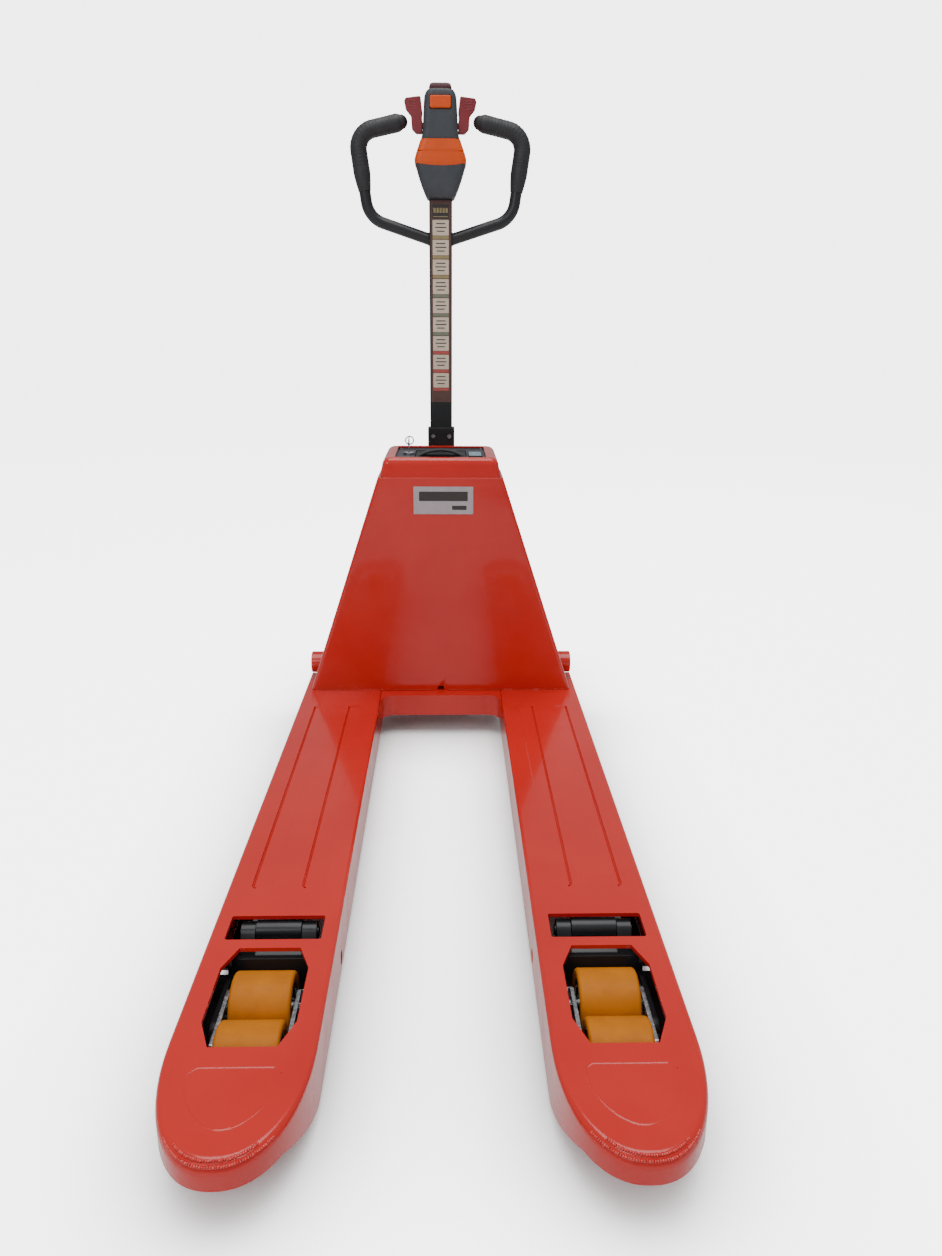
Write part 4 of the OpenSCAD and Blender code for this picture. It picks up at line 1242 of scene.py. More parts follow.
@dataclass
class Mast:
    """The apron with its folded sides, the cross member at its foot and the weld between them."""

    layout: Layout
    sheet: float = 5.0
    fold: float = 7.0
    plate_middle: Flat = (5.5, 472)
    plate_half: Flat = (57, 26.5)
    plate_bars: tuple[tuple[float, ...], ...] = ((-41, 52, 471, 489), (22, 50, 454, 462))

    def apron(self) -> None:
        """Builds the apron: a tapering sheet with folded sides."""
        low, high = self.layout.corner("apron")
        head = self.layout.corner("hood")[1].x + 3.5
        bm = bmesh.new()
        bridge(bm, [[(x, y, z) for x, y in self.section(width, high.y)]
                    for z, width in self.levels(low.z, high.z, high.x, head)])
        piece = self.layout.emit("apron_sheet", bm, RED, "fork_frame", ("apron",), 40)
        notch = bmesh.new()
        plate(notch, rounded_rectangle((0, low.z), (6.5, 9), 5, 6), -3, 9, "Y", 0)
        self.layout.cut(piece, [notch], 0.6)

    @staticmethod
    def levels(low: float, high: float, foot: float, head: float) -> list[Flat]:
        """Heights with the apron's half width at each."""
        return [(low + (high - low) * k / 12, foot + (head - foot) * k / 12) for k in range(13)]

    def section(self, half: float, depth: float) -> list[Flat]:
        """The apron's plan at one height: a channel with round folds.

        Args:
            half: its half width.
            depth: how far back its sides reach.

        Returns:
            Its outline in (X, Y).
        """
        arc = [math.radians(90 * k / 6) for k in range(7)]
        outer = [(half, depth)] + [(half - self.fold + self.fold * math.cos(a), self.fold - self.fold * math.sin(a))
                                   for a in arc]
        outer += [(40.0, 0.0), (12.0, 0.0)]
        outer += [(-x, y) for x, y in reversed(outer)]
        r = self.fold - self.sheet
        inner = [(half - self.sheet, depth)] + [(half - self.sheet - r + r * math.cos(a),
                                                 self.sheet + r - r * math.sin(a)) for a in arc]
        inner += [(40.0, self.sheet), (12.0, self.sheet)]
        inner = [(-x, y) for x, y in inner] + list(reversed(inner))
        return outer + inner

    def cross_member(self) -> None:
        """Builds the box between the forks with its rounded underside corners."""
        self.layout.machined("cross_member", RED, "fork_frame", 2.0, 3)

    def welds(self) -> None:
        """Lays the weld along the apron's foot."""
        low, high = self.layout.corner("apron")
        runs = []
        for start, stop in ((-high.x + 10, -118), (72, high.x - 10), (-112, -14), (14, 66)):
            count = max(2, int(abs(stop - start) / 12))
            runs.append([(start + (stop - start) * k / count, -1.2, low.z + 1.6) for k in range(count + 1)])
        WeldBead(self.layout, 3.4, 2.8, seed=3).lay("apron_foot_weld", runs, RED_WELD, "fork_frame")

    def decal(self) -> None:
        """Sticks the plain plate on the apron, with plain bars in the place of print."""
        bm = bmesh.new()
        plate(bm, rounded_rectangle(self.plate_middle, self.plate_half, 1.5), -0.9, 0.3, "Y", 0.2)
        self.layout.emit("capacity_plate", bm, PLATE, "fork_frame")
        bars = bmesh.new()
        for x0, x1, z0, z1 in self.plate_bars:
            plate(bars, rounded_rectangle(((x0 + x1) / 2, (z0 + z1) / 2), ((x1 - x0) / 2, (z1 - z0) / 2), 1.2),
                  -1.2, -0.8, "Y", 0.1)
        self.layout.emit("capacity_plate_bars", bars, DARK_INK, "fork_frame")

    def build(self) -> None:
        """Builds the apron group."""
        self.apron()
        self.cross_member()
        self.welds()
        self.decal()
        self.layout.machined("rocker_housing", RED, "fork_frame", 2.0, 3)
        self.layout.machined("guide_frame", RED, "fork_frame", 0.8)
        self.layout.machined("rear_panel", RED, "fork_frame", 1.6, 3)
        self.layout.machined("motor_controller", BLACK_ABS, "fork_frame", 0.8)
        self.layout.machined("lift_ram", ZINC, "fork_frame", 0.5)
        self.layout.machined("wheel_pivot_axles", STEEL, "fork_frame", 0.8)


# ---------------------------------------------------------------------- hood


@dataclass
class Hood:
    """The hood over the battery: round upper edges and the panel that is let into it."""

    layout: Layout
    corner: float = 13.0
    roll: float = 10.0
    shoulder: float = 15.0

    def __post_init__(self) -> None:
        """Reads the hood's box."""
        self.low, self.high = self.layout.corner("hood")
        dash = self.layout.corner("dash_panel")
        self.window = (Vector((dash[0].x + 4, dash[0].y + 4)), Vector((dash[1].x - 4, dash[1].y - 4)))
        self.panel_z = dash[0].z + 8

    def ring(self, z: float, inset: float, sink: float = 0.0) -> list[Point]:
        """One level of the hood, set in by a distance.

        Args:
            z: its height.
            inset: how far in from the foot it lies at the sides.
            sink: how far in it lies at the front and back.

        Returns:
            Its points.
        """
        middle = (0.0, (self.low.y + self.high.y) / 2)
        half = (self.high.x - inset, (self.high.y - self.low.y) / 2 - sink)
        return [(x, y, z) for x, y in rounded_rectangle(middle, half, max(3.0, self.corner - inset * 0.25), 8)]

    def shell(self) -> None:
        """Builds the hood's sheet: foot, shoulder, rolled edge, top and the rim of its window."""
        rings = [self.ring(self.low.z, 4.5, 4.5), self.ring(self.low.z, 0)]
        for k in range(8):
            a = math.radians(90 * k / 7)
            rings.append(self.ring(self.high.z - self.shoulder * (1 - math.sin(a)),
                                   5 + (self.roll + 5) * (1 - math.cos(a)), 1 + self.roll * (1 - math.cos(a))))
        low, high = self.window
        middle = ((low.x + high.x) / 2, (low.y + high.y) / 2)
        half = ((high.x - low.x) / 2, (high.y - low.y) / 2)
        for z, grow in ((self.high.z, 2.0), (self.high.z - 0.6, 0.6), (self.high.z - 4, 0.0)):
            rings.append([(x, y, z) for x, y in rounded_rectangle(middle, (half[0] + grow, half[1] + grow),
                                                                  6 + grow, 8)])
        bm = bmesh.new()
        bridge(bm, rings, caps=(False, False))
        piece = self.layout.emit("hood_shell", bm, RED, "fork_frame", ("hood",), 50)
        thick = piece.modifiers.new("sheet", "SOLIDIFY")
        thick.thickness = 1.6 * MM
        thick.offset = -1
        flatten(piece)
        seam = bmesh.new()
        box(seam, (-self.high.x + 3, 3.5, self.low.z - 1.0), (self.high.x - 3, self.high.y - 4, self.low.z + 0.6))
        self.layout.emit("hood_seal", seam, GRIP, "fork_frame")

    def build(self) -> None:
        """Builds the hood and everything in its window."""
        self.shell()
        self.layout.machined("dash_panel", GREY_ABS, "fork_frame", 0.5)
        self.gauge()
        self.battery()
        self.key()
        spots = [((x, y, self.panel_z), (0, 0, 1)) for x in (-82, 82) for y in (27, 183)]
        Fasteners(self.layout, 7, 2.2, 9).place("dash_screws", spots, ZINC, "fork_frame")

    def gauge(self) -> None:
        """Builds the battery gauge: a window in a bezel with a dial behind it."""
        low, high = self.layout.corner("battery_gauge")
        middle, half = ((low.x + high.x) / 2, (low.y + high.y) / 2), ((high.x - low.x) / 2, (high.y - low.y) / 2)
        bm = bmesh.new()
        plate(bm, rounded_rectangle(middle, (half[0] - 1.5, half[1] - 1.5), 4), low.z, high.z - 0.4, "Z", 0.6, 3)
        self.layout.emit("gauge_window", bm, GAUGE, "fork_frame", ("battery_gauge",))
        rim = bmesh.new()
        rings = []
        for z, grow in ((low.z - 0.2, 0.0), (high.z - 0.5, 0.0), (high.z, -0.5), (high.z, -1.4), (low.z, -1.6)):
            rings.append([(x, y, z) for x, y in rounded_rectangle(middle, (half[0] + grow, half[1] + grow), 5)])
        bridge(rim, rings, closed=True)
        self.layout.emit("gauge_bezel", rim, BLACK_ABS, "fork_frame")
        marks = bmesh.new()
        for k in range(6):
            y = middle[1] - 17 + 34 * k / 5
            box(marks, (middle[0] - 7, y - 0.6, high.z - 0.5), (middle[0] + (5 if k % 5 == 0 else 0), y + 0.6,
                                                               high.z - 0.2))
        self.layout.emit("gauge_marks", marks, CREAM_INK, "fork_frame")

    def battery(self) -> None:
        """Builds the battery pack's case and its strap handle."""
        self.layout.machined("battery_case", BLACK_ABS, "battery", 1.2, 3)
        low, high = self.layout.corner("battery_handle")
        height = high.z - low.z
        chord = high.x - low.x
        radius = (chord * chord / 4 + height * height) / 2 / height
        reach = math.asin(chord / 2 / radius)
        bm = bmesh.new()
        rings = []
        for k in range(29):
            a = -reach + 2 * reach * k / 28
            out = Vector((math.sin(a), 0, math.cos(a)))
            centre = Vector((0, (low.y + high.y) / 2, high.z - radius)) + out * (radius - 2.5)
            wide = (high.y - low.y) / 2 * (0.78 + 0.22 * abs(a / reach) ** 2)
            rings.append([tuple(centre + out * v + Vector((0, u, 0)))
                          for u, v in rounded_rectangle((0, 0), (wide, 2.5), 2.2, 4)])
        bridge(bm, rings)
        self.layout.emit("battery_strap_handle", bm, GRIP, "battery", ("battery_handle",))

    def key(self) -> None:
        """Builds the key and the switch that it turns."""
        self.layout.machined("key_switch", ZINC, "fork_frame", 0.6, 3)
        low, high = self.layout.corner("key")
        x, y = (low.x + high.x) / 2, (low.y + high.y) / 2
        self.layout.machined("key", STEEL, "key", 0.3, 2, "ignition_key")
        ring = bmesh.new()
        loop = [Vector((x + 1.4 + 8.0 * math.sin(t), y + 4.0 * math.cos(t), high.z - 8.2 + 7.2 * math.cos(t)))
                for t in [math.tau * k / 24 for k in range(24)]]
        rings = []
        for i, point in enumerate(loop):
            way = (loop[(i + 1) % 24] - loop[i - 1]).normalized()
            across = way.cross(Vector((0, 1, 0))).normalized()
            over = way.cross(across)
            rings.append([tuple(point + 1.3 * (across * math.cos(a) + over * math.sin(a)))
                          for a in [math.tau * k / 8 for k in range(8)]])
        bridge(ring, rings, closed=True)
        self.layout.emit("key_ring", ring, STEEL, "key")


# -------------------------------------------------------------- roller gear


@dataclass
class RollerGear:
    """The load rollers of one fork with their pair's plates, the bracket and the push rod."""

    layout: Layout
    side: Side
    bore: float = 28.2
    bolt_reach: float = 43.4

    def roller(self, end: End) -> None:
        """Builds one roller: a polyurethane tyre with a flat tread and rounded shoulders on a steel core with two
        sealed bearings.

        Args:
            end: which roller of the pair it is.
        """
        tag = f"{self.side.word}_{end.word}"
        body = f"roller_{tag}"
        low, high = self.layout.corner(f"roller_tyre_{tag}")
        centre = tuple((low + high) / 2)
        radius, half = (high.z - low.z) / 2, (high.x - low.x) / 2
        bm = bmesh.new()
        shoulder = [(radius - 4 * (1 - math.sin(a)), half - 4 * (1 - math.cos(a)))
                    for a in [math.radians(90 * k / 5) for k in range(6)]]
        face = [(self.bore, half - 1.6), (radius - 9, half - 0.4), *shoulder]
        crown = [(radius, half * 0.6), (radius, 0.0), (radius, -half * 0.6)]
        profile = [(r, d) for r, d in face] + crown + [(r, -d) for r, d in reversed(face)]
        turned(bm, profile, centre, "X", 72)
        bmesh.ops.holes_fill(bm, edges=[e for e in bm.edges if e.is_boundary], sides=0)
        tyre = self.layout.emit(f"tyre_{tag}", bm, AMBER, body, (f"roller_tyre_{tag}",), 40)
        hollow = bmesh.new()
        pin(hollow, self.bore, -half - 5, half + 5, centre, "X", 0.1, 72)
        self.layout.cut(tyre, [hollow])
        self.layout.shade(tyre, 40)
        self.layout.machined(f"roller_core_{tag}", STEEL, body, 0.6)
        seals = bmesh.new()
        for sign in (-1, 1):
            turned(seals, [(9.5, sign * (half - 3.6)), (10.5, sign * (half - 3.0)), (18.5, sign * (half - 3.0)),
                           (19.2, sign * (half - 3.8)), (9.5, sign * (half - 3.8))], centre, "X", 40)
        self.layout.emit(f"bearing_seals_{tag}", seals, GRIP, body)

    def build(self) -> None:
        """Builds the fork's rollers, plates, bracket and rod."""
        word = self.side.word
        for end in End:
            self.roller(end)
        self.layout.machined(f"bogie_{word}", ZINC, f"bogie_{word}", 0.7, 3)
        self.layout.machined(f"wheel_bracket_{word}", BLACK, f"wheel_bracket_{word}", 0.8, 3)
        self.layout.machined(f"pushrod_{word}", BLACK, f"pushrod_{word}", 0.7, 3)
        spots = []
        for end in End:
            low, high = self.layout.corner(f"roller_core_{word}_{end.word}")
            middle = (low + high) / 2
            for sign in (-1, 1):
                spots.append(((middle.x + sign * self.bolt_reach, middle.y, middle.z), (sign, 0, 0)))
        Fasteners(self.layout, 11, 3.2, 14).place(f"roller_bolts_{word}", spots, ZINC, f"bogie_{word}")


# ------------------------------------------------------------------- tiller


@dataclass
class Tiller:
    """The tiller's tube with its collar, pivot and printed strip."""

    layout: Layout
    strip_low: float = 636.6
    strip_high: float = 1028.0
    tiles: int = 9
    tile_top: float = 991.5
    pitch: float = 37.0
    tile_half: Flat = (16.2, 14.5)

    def __post_init__(self) -> None:
        """Reads how far back the tube's middle lies, which the handle shares."""
        self.middle_y = self.layout.corner("loop_handle")[0].y + 11

    def tube(self) -> None:
        """Builds the tube, its collar and its foot."""
        self.layout.machined("tiller_arm", BLACK_TUBE, "tiller", 2.2, 4)
        spots = [((x, self.middle_y - 19.2, 566), (0, -1, 0)) for x in (-17, 17)]
        Fasteners(self.layout, 8, 2.6, 0.1).place("collar_bolts", spots, ZINC, "tiller")

    def strip(self) -> None:
        """Sticks the strip on the tube: a brown border, a bare block, cream tiles and coloured bands."""
        face = self.middle_y - 15.0
        half, tall = self.tile_half

        def sheet(bm: Mesh, z: float, wide: float, high: float, lift: float, x: float = 0.0) -> None:
            """Adds one thin rectangle round (x, z), with half sizes wide and high, that stands out by lift."""
            plate(bm, rounded_rectangle((x, z), (wide, high), 0.8), face - lift, face - lift + 0.3, "Y", 0.08)

        film = bmesh.new()
        sheet(film, (self.strip_low + self.strip_high) / 2, 20.4, (self.strip_high - self.strip_low) / 2, 0.3)
        self.layout.emit("strip_border", film, BROWN_INK, "tiller")
        tiles, blocks = bmesh.new(), bmesh.new()
        bands = {OCHRE_INK: bmesh.new(), SAGE_INK: bmesh.new(), RED_INK: bmesh.new()}
        for k in range(self.tiles):
            z = self.tile_top - self.pitch * k - tall
            sheet(tiles, z, half, tall, 0.5)
            sheet(bands[(OCHRE_INK, SAGE_INK, RED_INK)[min(2, k // 3)]], z - 18.2, half, 2.9, 0.5)
            for row, wide in enumerate((9.5, 11.5, 8.0)):
                sheet(blocks, z + 7.5 - row * 7, wide, 1.0, 0.65)
        self.layout.emit("strip_tiles", tiles, CREAM_INK, "tiller")
        self.layout.emit("strip_marks", blocks, DARK_INK, "tiller")
        for ink, bm in bands.items():
            self.layout.emit(f"strip_bands_{ink.name}", bm, ink, "tiller")
        head, lines = bmesh.new(), bmesh.new()
        sheet(head, (self.tile_top + self.strip_high - 8) / 2 + 1, half,
              (self.strip_high - self.tile_top - 10) / 2, 0.5)
        sheet(lines, self.tile_top + 6, 14.6, 0.7, 0.65)
        for k in range(5):
            sheet(lines, self.tile_top + 17.5, 2.2, 4.6, 0.65, -12 + 6 * k)
        self.layout.emit("strip_head_block", head, DARK_INK, "tiller")
        self.layout.emit("strip_head_lines", lines, OCHRE_INK, "tiller")

    def build(self) -> None:
        """Builds the tiller up to its head."""
        self.tube()
        self.strip()
        self.layout.machined("tiller_pivot", ZINC, "steering", 0)
        self.layout.machined("tiller_bracket", BLACK, "steering", 1.0, 3)


@dataclass
class Handle:
    """The loop handle: a bent tube with two ribbed rubber grips."""

    layout: Layout
    base: float
    grip: float = 16.8
    foot: float = 14.0
    tube: float = 11.4
    corners: tuple[Flat, ...] = ((22, -74), (144, -35), (165.5, 119), (77, 139))
    bends: tuple[float, ...] = (0, 48, 36, 0)
    rib: float = 0.4
    rib_pitch: float = 6.4
    taper: float = 36.0
    dome: float = 10.0

    def line(self, sign: int) -> list[Flat]:
        """One half of the handle's centre line.

        Args:
            sign: -1 for the left half, 1 for the right.

        Returns:
            Points in (X, Z), from the tube's foot to the grip's end.
        """
        line = [(x, self.base + z) for x, z in self.corners]
        return [(sign * x, z) for x, z in bent(line, self.bends, 14)]

    def build(self) -> None:
        """Builds both halves."""
        y = sum(spot.y for spot in self.layout.corner("loop_handle")) / 2
        bm = bmesh.new()
        for sign in (-1, 1):
            path = [Vector((x, y, z)) for x, z in self.line(sign)]
            swept(bm, path, [self.tube] * len(path), 28)
        self.layout.emit("handle_tube", bm, HANDLE_TUBE, "tiller", ("loop_handle",), 40)
        grips = bmesh.new()
        for sign in (-1, 1):
            self.sleeve(grips, sign, y)
        self.layout.emit("ribbed_grips", grips, GRIP, "tiller", ("hand_grips",), 50)
        weld = WeldBead(self.layout, 4.0, 2.6, seed=5)
        runs = []
        for sign in (-1, 1):
            runs.append([(sign * 23.6, y + 10.5 * math.cos(a), self.base - 73.5 + 11.5 * math.sin(a))
                         for a in [math.tau * k / 20 for k in range(21)]])
        weld.lay("handle_weld", runs, HANDLE_TUBE, "tiller")

    def sleeve(self, bm: Mesh, sign: int, y: float) -> None:
        """Adds one grip: a softly ribbed sleeve that tapers into the tube at its foot, with a domed end.

        Args:
            bm: the mesh to add to.
            sign: -1 for the left grip, 1 for the right.
            y: where the handle's plane lies.
        """
        coarse = [Vector((x, y, z)) for x, z in self.line(sign)]
        path = []
        for a, b in zip(coarse, coarse[1:]):
            count = max(1, int((b - a).length / 1.6))
            path += [a.lerp(b, k / count) for k in range(count)]
        path = [p for p in path if p.z > self.base + self.foot] + [coarse[-1]]
        radii, run = [], 0.0
        total = sum((b - a).length for a, b in zip(path, path[1:]))
        for i, point in enumerate(path):
            run += (point - path[i - 1]).length if i else 0.0
            ribbed = self.taper + 4 < run < total - 24
            wave = 0.5 + 0.5 * math.cos(math.tau * run / self.rib_pitch)
            radius = self.grip - (self.rib * wave if ribbed else 0.0)
            if run < self.taper:
                radius = self.grip - (self.grip - self.tube - 0.8) * (1 - run / self.taper) ** 1.4
            if total - run < self.dome:
                radius = self.grip * math.sqrt(max(0.02, 1 - (1 - (total - run) / self.dome) ** 2 * 0.35))
            radii.append(radius)
        out = (path[-1] - path[-2]).normalized()
        last = radii[-1]
        for a in (25, 50, 72, 85):
            path.append(coarse[-1] + out * last * math.sin(math.radians(a)) * 0.95)
            radii.append(last * math.cos(math.radians(a)))
        swept(bm, path, radii, 30)


@dataclass
class ControlHead:
    """The control head: two shells, the orange belt, the paddles and the buttons."""

    layout: Layout
    corner: float = 12.0
    profile: Sequence[Point] = ((26.5, 0, 30), (31, 9, 33), (38, 26, 35), (44.5, 45, 36.5), (49.5, 62, 36.5),
                                (49.8, 70, 36.5), (45.5, 84, 36.5), (40, 98, 36), (36, 110, 35.5), (34, 122, 35),
                                (33, 150, 34.5), (31.8, 170, 34), (30.8, 180, 33), (28.6, 186.5, 32),
                                (25.4, 191, 30.5), (21.6, 193.5, 27))
    button_drop: float = 4.0

    def __post_init__(self) -> None:
        """Reads the head's box."""
        self.low, self.high = self.layout.corner("head_shell")
        self.base = self.low.z
        self.middle = (0.0, (self.low.y + self.high.y) / 2)

    def at(self, height: float) -> Flat:
        """The head's size at one height.

        Args:
            height: the height above the head's foot.

        Returns:
            The half width and half depth.
        """
        for (w0, z0, d0), (w1, z1, d1) in zip(self.profile, self.profile[1:]):
            if z0 <= height <= z1:
                t = (height - z0) / (z1 - z0)
                return w0 + (w1 - w0) * t, d0 + (d1 - d0) * t
        return self.profile[-1][0], self.profile[-1][2]

    def ring(self, wide: float, deep: float, parts: int = 8) -> list[Flat]:
        """The head's plan at one level, with its straight runs divided so that they can bow.

        Args:
            wide: its half width.
            deep: its half depth.
            parts: how many parts a straight run is divided into.

        Returns:
            Its points in (X, Y).
        """
        arc = 8
        points = rounded_rectangle(self.middle, (wide, deep), self.corner, arc - 1)
        ring = []
        for i, (x, y) in enumerate(points):
            u, v = points[(i + 1) % len(points)]
            count = parts if i % arc == arc - 1 else 1
            ring += [(x + (u - x) * k / count, y + (v - y) * k / count) for k in range(count)]
        return ring

    def shell(self, name: str, heights: Sequence[float], finish: Finish, grow: float, nodes: Sequence[str] = (),
              bow: float = 0.0) -> Piece:
        """Builds a stretch of the head between two heights.

        Args:
            name: the piece's name.
            heights: the levels, from low to high.
            finish: its finish.
            grow: how far it stands out from the head's profile at its middle; its ends are drawn in.
            nodes: the frame nodes that it stands for.
            bow: how far the ends dip at the middle of the front.

        Returns:
            The piece.
        """
        bm = bmesh.new()
        rings = []
        last = len(heights) - 1
        for i, height in enumerate(heights):
            wide, deep = self.at(height)
            pull = grow - (1.4 if i in (0, last) else 0.0)
            dip = bow * max(0.0, 1 - i / 3) if grow else 0.0
            ring = self.ring(wide + pull, deep + pull)
            rings.append([(x, y, self.base + height - dip * (1 - (x / (wide + pull)) ** 2)) for x, y in ring])
        bridge(bm, rings)
        return self.layout.emit(name, bm, finish, "tiller", nodes, 42)

    def build(self) -> None:
        """Builds the head and everything on it."""
        lower = [0, 1.2, 6, 12, 20, 28, 36, 44, 52, 58, 61, 62.2]
        self.shell("head_lower_shell", lower, GREY_ABS, 0.0)
        belt = [61.5, 62.7, 67, 70, 76, 82, 83.2]
        self.shell("head_belt_lower", belt, ORANGE, 0.9, ("head_belt",), 5.0)
        self.shell("head_belt_upper", [83.6, 84.8, 89, 94, 99, 103.8, 105], ORANGE, 0.9, (), 3.0)
        upper = [104, 105.4, 112, 122, 136, 150, 164, 172, 180, 183, 186.5, 189, 191, 192.4, 193.5]
        piece = self.shell("head_upper_shell", upper, GREY_ABS, 0.0, ("head_shell",), 0.0)
        well = bmesh.new()
        plate(well, rounded_rectangle((0, self.base + 172.5 - self.button_drop), (21.2, 12.4), 3), self.low.y - 4,
              self.low.y + 12, "Y", 0)
        seat = bmesh.new()
        box(seat, (-22.8, self.middle[1] - 22.8, self.base + 176), (22.8, self.middle[1] + 24, self.base + 200), 2)
        self.layout.cut(piece, [well, seat], 0.6)
        self.layout.shade(piece, 42)
        self.buttons()
        self.paddles()

    def buttons(self) -> None:
        """Builds the belly button on top and the orange button in front."""
        low, high = self.layout.corner("belly_button")
        bm = bmesh.new()
        rings = []
        middle_y = (low.y + high.y) / 2
        for z, half, r in ((low.z, 21.5, 5), (low.z + 10, 22, 5), (low.z + 12, 21.6, 6), (high.z - 4, 20.8, 6),
                           (high.z - 1.4, 19.6, 6), (high.z, 17.0, 6)):
            rings.append([(x, y, z) for x, y in rounded_rectangle((0, middle_y), (half, half), r, 6)])
        bridge(bm, rings)
        self.layout.emit("belly_button_cap", bm, BELLY, "belly_button", ("belly_button",), 40)
        low, high = self.layout.corner("horn_button")
        bm = bmesh.new()
        rings = []
        for y, shrink in ((high.y, 0.0), (low.y + 2.2, 0.0), (low.y + 0.8, 0.5), (low.y + 0.1, 1.6),
                          (low.y + 0.5, 5.0)):
            outline = rounded_rectangle((0, (low.z + high.z) / 2 - self.button_drop),
                                        ((high.x - low.x) / 2 - shrink, (high.z - low.z) / 2 - shrink), 3.2)
            rings.append([(x, y, z) for x, z in outline])
        bridge(bm, rings)
        self.layout.emit("front_button_cap", bm, ORANGE, "horn_button", ("horn_button",), 40)

    def paddles(self) -> None:
        """Builds the two throttle paddles on their shaft, with grooves for the thumbs."""
        low, high = self.layout.corner("throttle")
        base = self.base
        y = (low.y + high.y) / 2
        bm = bmesh.new()
        for sign in (-1, 1):
            outline = bent([(35.5, 146), (34.5, 116), (47, 116), (55.5, 124), (57, 147), (67, 158.5), (70, 172),
                            (67, 178), (38, 181.5), (34.4, 152), (35.5, 146)], [0, 2, 3, 5, 8, 5, 3, 3, 3, 3, 0], 5)
            outline = [(sign * x, base + z) for x, z in outline]
            plate(bm, outline, y - 8, y + 8, "Y", 2.2, 4)
            for rung in range(4):
                z = base + 158 + rung * 4.6
                swept(bm, [Vector((sign * 48, y - 7.6, z)), Vector((sign * 61.5, y - 7.6, z + 0.8))], [0.9, 0.9], 10)
        pin(bm, 6.0, -40, 40, (0, y, base + 130))
        self.layout.emit("throttle_paddles", bm, MAROON, "throttle", ("throttle",), 40)


# --------------------------------------------------------------- power head


